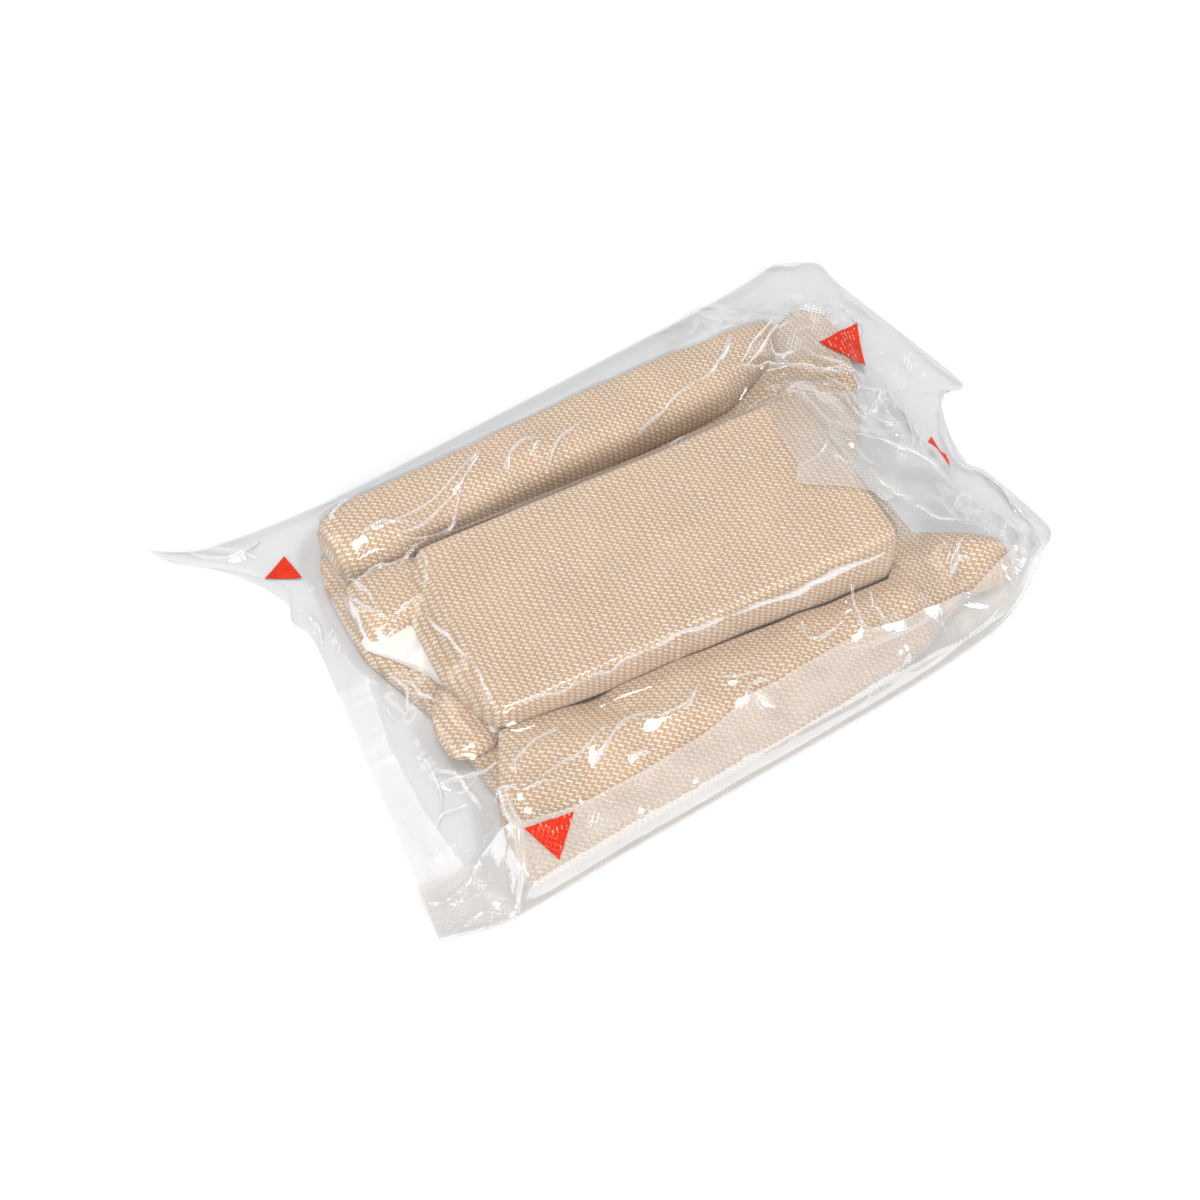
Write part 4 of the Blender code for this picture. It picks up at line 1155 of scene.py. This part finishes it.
def film_material(name, milk):
    """Clear glossy film: see-through, with a gloss, a frosted seal, an embossed mesh and painted
    highlights on the mesh's ribs.
    """
    n = Nodes(name)
    place = n.place()
    seal, emboss, cloud, rim = (n.attribute(name) for name in ("seal", "emboss", "haze", "rim"))
    mesh_bumps = embossed_mesh(n, place)
    ripple, fine = n.noise(place, 120.0), n.noise(place, 700.0)
    grain = n.noise(place, 1900.0, 2.0, 0.6)
    mesh_height = n.times(n.times(mesh_bumps, emboss), 0.30)
    height = n.plus(mesh_height, n.plus(n.times(ripple, 0.16), n.times(fine, 0.006)))
    normal = n.bump(n.plus(height, n.times(n.times(grain, seal), 0.10)), 0.6, 0.7 * MM)
    # painted highlight: the pressed ribs are whitened here and there as if catching light; the seal
    # is frosted, the haze is patchy
    lit_ribs = n.times(
        n.smooth(mesh_bumps, 0.58, 0.84), n.smooth(n.noise(place, 170.0), 0.50, 0.64)
    )
    # painted rib highlights, which join the seal's frost in the milky mix
    mesh_and_glints = n.times(n.times(lit_ribs, emboss), 0.62)
    frost_and_glints = n.plus(n.times(seal, 0.42), mesh_and_glints)
    patchy = n.times(cloud, n.plus(0.5, n.noise(place, 140.0, 3.0)))
    haze = n.plus(FILM_VEIL, n.plus(frost_and_glints, patchy), clamp=True)
    clear = n.shader("BsdfTransparent", {"Color": n.mix(rim, FILM_THROUGH, RIM_THROUGH)})
    milky = n.shader("BsdfDiffuse", {"Color": (*milk, 1.0)})
    body = n.shader("MixShader", {0: haze, 1: clear, 2: milky})
    rough = n.plus(0.06, n.times(seal, 0.3))
    gloss_values = {"Color": (1.0, 1.0, 1.0, 1.0), "Roughness": rough, "Normal": normal}
    gloss = n.shader("BsdfGlossy", gloss_values)
    fresnel = n.shader("Fresnel", {"IOR": FILM_IOR, "Normal": normal})
    shine = n.math("MINIMUM", fresnel, GLOSS_LIMIT)
    return n.finish(n.shader("MixShader", {0: shine, 1: body, 2: gloss}))


def ridged(n, run, factor):
    """Sharp ribs across a direction: 1 on the rib and 0 between two."""
    return n.minus(1.0, n.math("ABSOLUTE", n.math("SINE", n.times(run, factor))))


def embossed_mesh(n, place):
    """The small crossed ribs pressed into the channel side of the film."""
    parts = n.parts(place)
    one_way, other_way = (
        ridged(n, n.plus(parts[0], n.times(parts[1], sign)), math.pi / MESH_PITCH / 1.4)
        for sign in (1.0, -1.0)
    )
    return n.math("MAXIMUM", one_way, other_way)


def one_way_ribs(n, place):
    """The pressed ribs that run one way only."""
    parts = n.parts(place)
    return ridged(n, n.minus(parts[0], n.times(parts[1], 0.35)), math.pi / RIBS_PITCH)


def print_material(name, glint_share):
    """Red print; the second argument is how far the embossed mesh shows in it as pale dashes of
    painted highlight.
    """
    n = Nodes(name)
    place = n.place()
    cloud = n.smooth(n.noise(place, 260.0, 3.0), 0.3, 0.75)
    tone = n.mix(cloud, tinted(colours().print_red, 1.0), PRINT_SECOND)
    # pale dashes: painted highlights where the print's mesh ribs would catch light
    glint_dashes = n.times(
        n.smooth(one_way_ribs(n, place), 0.55, 0.85), n.smooth(n.noise(place, 900.0), 0.5, 0.6)
    )
    return n.finish(n.shader("BsdfPrincipled", {
        "Base Color": n.mix(n.times(glint_dashes, 0.75 * glint_share), tone, PRINT_GLINT),
        "Roughness": 0.22,
        "Specular IOR Level": 0.22,
        "Normal": n.bump(embossed_mesh(n, place), 0.4, 0.4 * MM),
    }))


def finish_piece(piece, material, node):
    """Material and body of a piece; the solid that it stands for, if there is one, is hidden."""
    piece.data.materials.append(material)
    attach(piece, "root")
    if node:
        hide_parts(node)


# The pieces made so far, which the next steps lie on
CLOTH = []
FILM = []


class BANDAGE_OT_cloth(bpy.types.Operator):
    """Makes the folded bundles of the wrap"""

    bl_idname = "bandage.cloth"
    bl_label = "Wrap bundles"

    def execute(self, context):
        knit = knit_material("knitted_wrap")
        block = {"turn": BLOCK_TURN, "middle": middle_of("wrap_centre_fold"), "shape": block_shape}
        made = []
        # piece, sections, contour, seed, points along and round it, lumps in mm, more
        for name, sections, contour, seed, stations, around, lumps, more in (
            ("base_layers", SLAB_SECTIONS, SLAB_CONTOUR, 2, 200, 150, 0.25, {}),
            ("centre_fold", BLOCK_SECTIONS, BLOCK_CONTOUR, 3, 240, 250, 0.10, block),
            ("back_roll", ROLL_SECTIONS, ROLL_CONTOUR, 4, 260, 150, 0.40, {}),
            ("front_fold", WING_SECTIONS, WING_CONTOUR, 5, 300, 190, 0.45, {"shape": wing_shape}),
            ("left_tuck", TUCK_SECTIONS, TUCK_CONTOUR, 6, 90, 90, 0.25, {}),
            ("side_fold", SIDE_FOLD_SECTIONS, TUCK_CONTOUR, 9, 60, 70, 0.25, {}),
        ):
            # the side fold has no solid of its own and stands as high as the tuck
            solid = None if name == "side_fold" else "wrap_" + name
            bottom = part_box(solid or "wrap_left_tuck")[0].z
            piece = bundle(
                name + "_cloth", sections, contour, bottom, seed, stations, around, lumps, **more
            )
            made.append((piece, solid))
        for piece, solid in made[-1:] + made[:-1]:
            finish_piece(piece, knit, solid)
            CLOTH.append(piece)
        return {"FINISHED"}


class BANDAGE_OT_pad(bpy.types.Operator):
    """Makes the white wound pad"""

    bl_idname = "bandage.pad"
    bl_label = "Wound pad"

    def execute(self, context):
        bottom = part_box("wound_pad")[0].z
        piece = bundle("wound_pad_cloth", PAD_SECTIONS, SLAB_CONTOUR, bottom, 7, 120, 90, 0.2)
        finish_piece(piece, pad_material(), "wound_pad")
        CLOTH.append(piece)
        return {"FINISHED"}


class BANDAGE_OT_film(bpy.types.Operator):
    """Draws the two film sheets down over the cloth"""

    bl_idname = "bandage.film"
    bl_label = "Pouch films"

    def execute(self, context):
        bpy.context.view_layer.update()
        film_map = FilmMap(CLOTH)
        clear = film_material("clear_film", FILM_MILK)
        top = upper_film(film_map)
        finish_piece(top, clear, "pouch_upper_film")
        bottom = lower_film(film_map)
        finish_piece(bottom, film_material("folded_film", FOLDED_MILK), "pouch_lower_film")
        pleat = pleat_film(film_map)
        finish_piece(pleat, clear, None)
        FILM.extend((top, bottom))
        return {"FINISHED"}


class BANDAGE_OT_marks(bpy.types.Operator):
    """Prints the tear marks on the film"""

    bl_idname = "bandage.marks"
    bl_label = "Tear marks"

    def execute(self, context):
        red = print_material("tear_print", 0.0)
        # print with painted highlights on its pressed mesh
        mesh_and_glints = print_material("tear_print_glinting", 1.0)
        trees = trees_of(FILM)
        for name, end, first, second, tip, notch in MARKS:
            piece = mark_patch("tear_print_" + name + end, first, second, tip, notch, trees)
            finish_piece(piece, mesh_and_glints if end else red, "tear_mark_" + name)
            trees += trees_of([piece])
        return {"FINISHED"}


def view_direction():
    """The way that the camera looks."""
    level, down = math.cos(CAMERA_ELEVATION), math.sin(CAMERA_ELEVATION)
    return Vector((math.sin(CAMERA_AZIMUTH) * level, math.cos(CAMERA_AZIMUTH) * level, -down))


def camera_place():
    return CAMERA_TARGET - view_direction() * CAMERA_DISTANCE


class BANDAGE_OT_stage(bpy.types.Operator):
    """Sets the floor, the soft lights and the camera"""

    bl_idname = "bandage.stage"
    bl_label = "Stage"

    def execute(self, context):
        bpy.ops.object.select_all(action="DESELECT")
        bpy.ops.mesh.primitive_plane_add(size=6.0, location=(0, 0, -0.0002))
        floor = bpy.context.active_object
        floor.name = "pale_floor"
        n = Nodes("pale_floor")
        floor.data.materials.append(n.finish(n.shader("BsdfDiffuse", {"Color": FLOOR_COLOUR})))
        floor.select_set(False)
        for lamp in LAMPS:
            soft_light(*lamp)
        world = bpy.data.worlds.new("soft_room")
        world.use_nodes = True
        background = world.node_tree.nodes["Background"]
        background.inputs[0].default_value = WORLD_COLOUR
        background.inputs[1].default_value = WORLD_STRENGTH
        context.scene.world = world
        context.scene.view_settings.view_transform = "Standard"
        lens = bpy.data.cameras.new("camera")
        lens.lens = CAMERA_LENS
        lens.sensor_width = 36.0
        camera = bpy.data.objects.new("camera", lens)
        context.scene.collection.objects.link(camera)
        camera.location = camera_place()
        camera.rotation_euler = view_direction().to_track_quat("-Z", "Y").to_euler()
        context.scene.camera = camera
        return {"FINISHED"}


def soft_light(name, place, width, height, power):
    """A rectangular lamp that faces the middle of the pack."""
    data = bpy.data.lights.new(name, "AREA")
    data.shape = "RECTANGLE"
    data.size = width
    data.size_y = height
    data.energy = power
    lamp = bpy.data.objects.new(name, data)
    bpy.context.scene.collection.objects.link(lamp)
    lamp.location = place
    lamp.rotation_euler = (-Vector(place)).to_track_quat("-Z", "Y").to_euler()


class BANDAGE_PT_panel(bpy.types.Panel):
    """Lists the steps that dress the pack"""

    bl_idname = "BANDAGE_PT_panel"
    bl_label = "Trauma bandage pack"
    bl_space_type = "VIEW_3D"
    bl_region_type = "UI"
    bl_category = "Bandage"

    def draw(self, context):
        for owner in (context.scene.bandage_sizes, context.scene.bandage_colours):
            for key in owner.bl_rna.properties.keys():
                if key not in ("rna_type", "name"):
                    self.layout.prop(owner, key)
        for step in STEPS:
            self.layout.operator(step.bl_idname)


STEPS = (BANDAGE_OT_cloth, BANDAGE_OT_pad, BANDAGE_OT_film, BANDAGE_OT_marks, BANDAGE_OT_stage)
CLASSES = (BandageSizes, BandageColours, *STEPS, BANDAGE_PT_panel)


def register():
    for item in CLASSES:
        bpy.utils.register_class(item)
    bpy.types.Scene.bandage_sizes = PointerProperty(type=BandageSizes)
    bpy.types.Scene.bandage_colours = PointerProperty(type=BandageColours)


def unregister():
    del bpy.types.Scene.bandage_colours
    del bpy.types.Scene.bandage_sizes
    for item in reversed(CLASSES):
        bpy.utils.unregister_class(item)


def main():
    register()
    bpy.ops.bandage.cloth()
    bpy.ops.bandage.pad()
    bpy.ops.bandage.film()
    bpy.ops.bandage.marks()
    bpy.ops.bandage.stage()


if __name__ == "__main__":
    main()
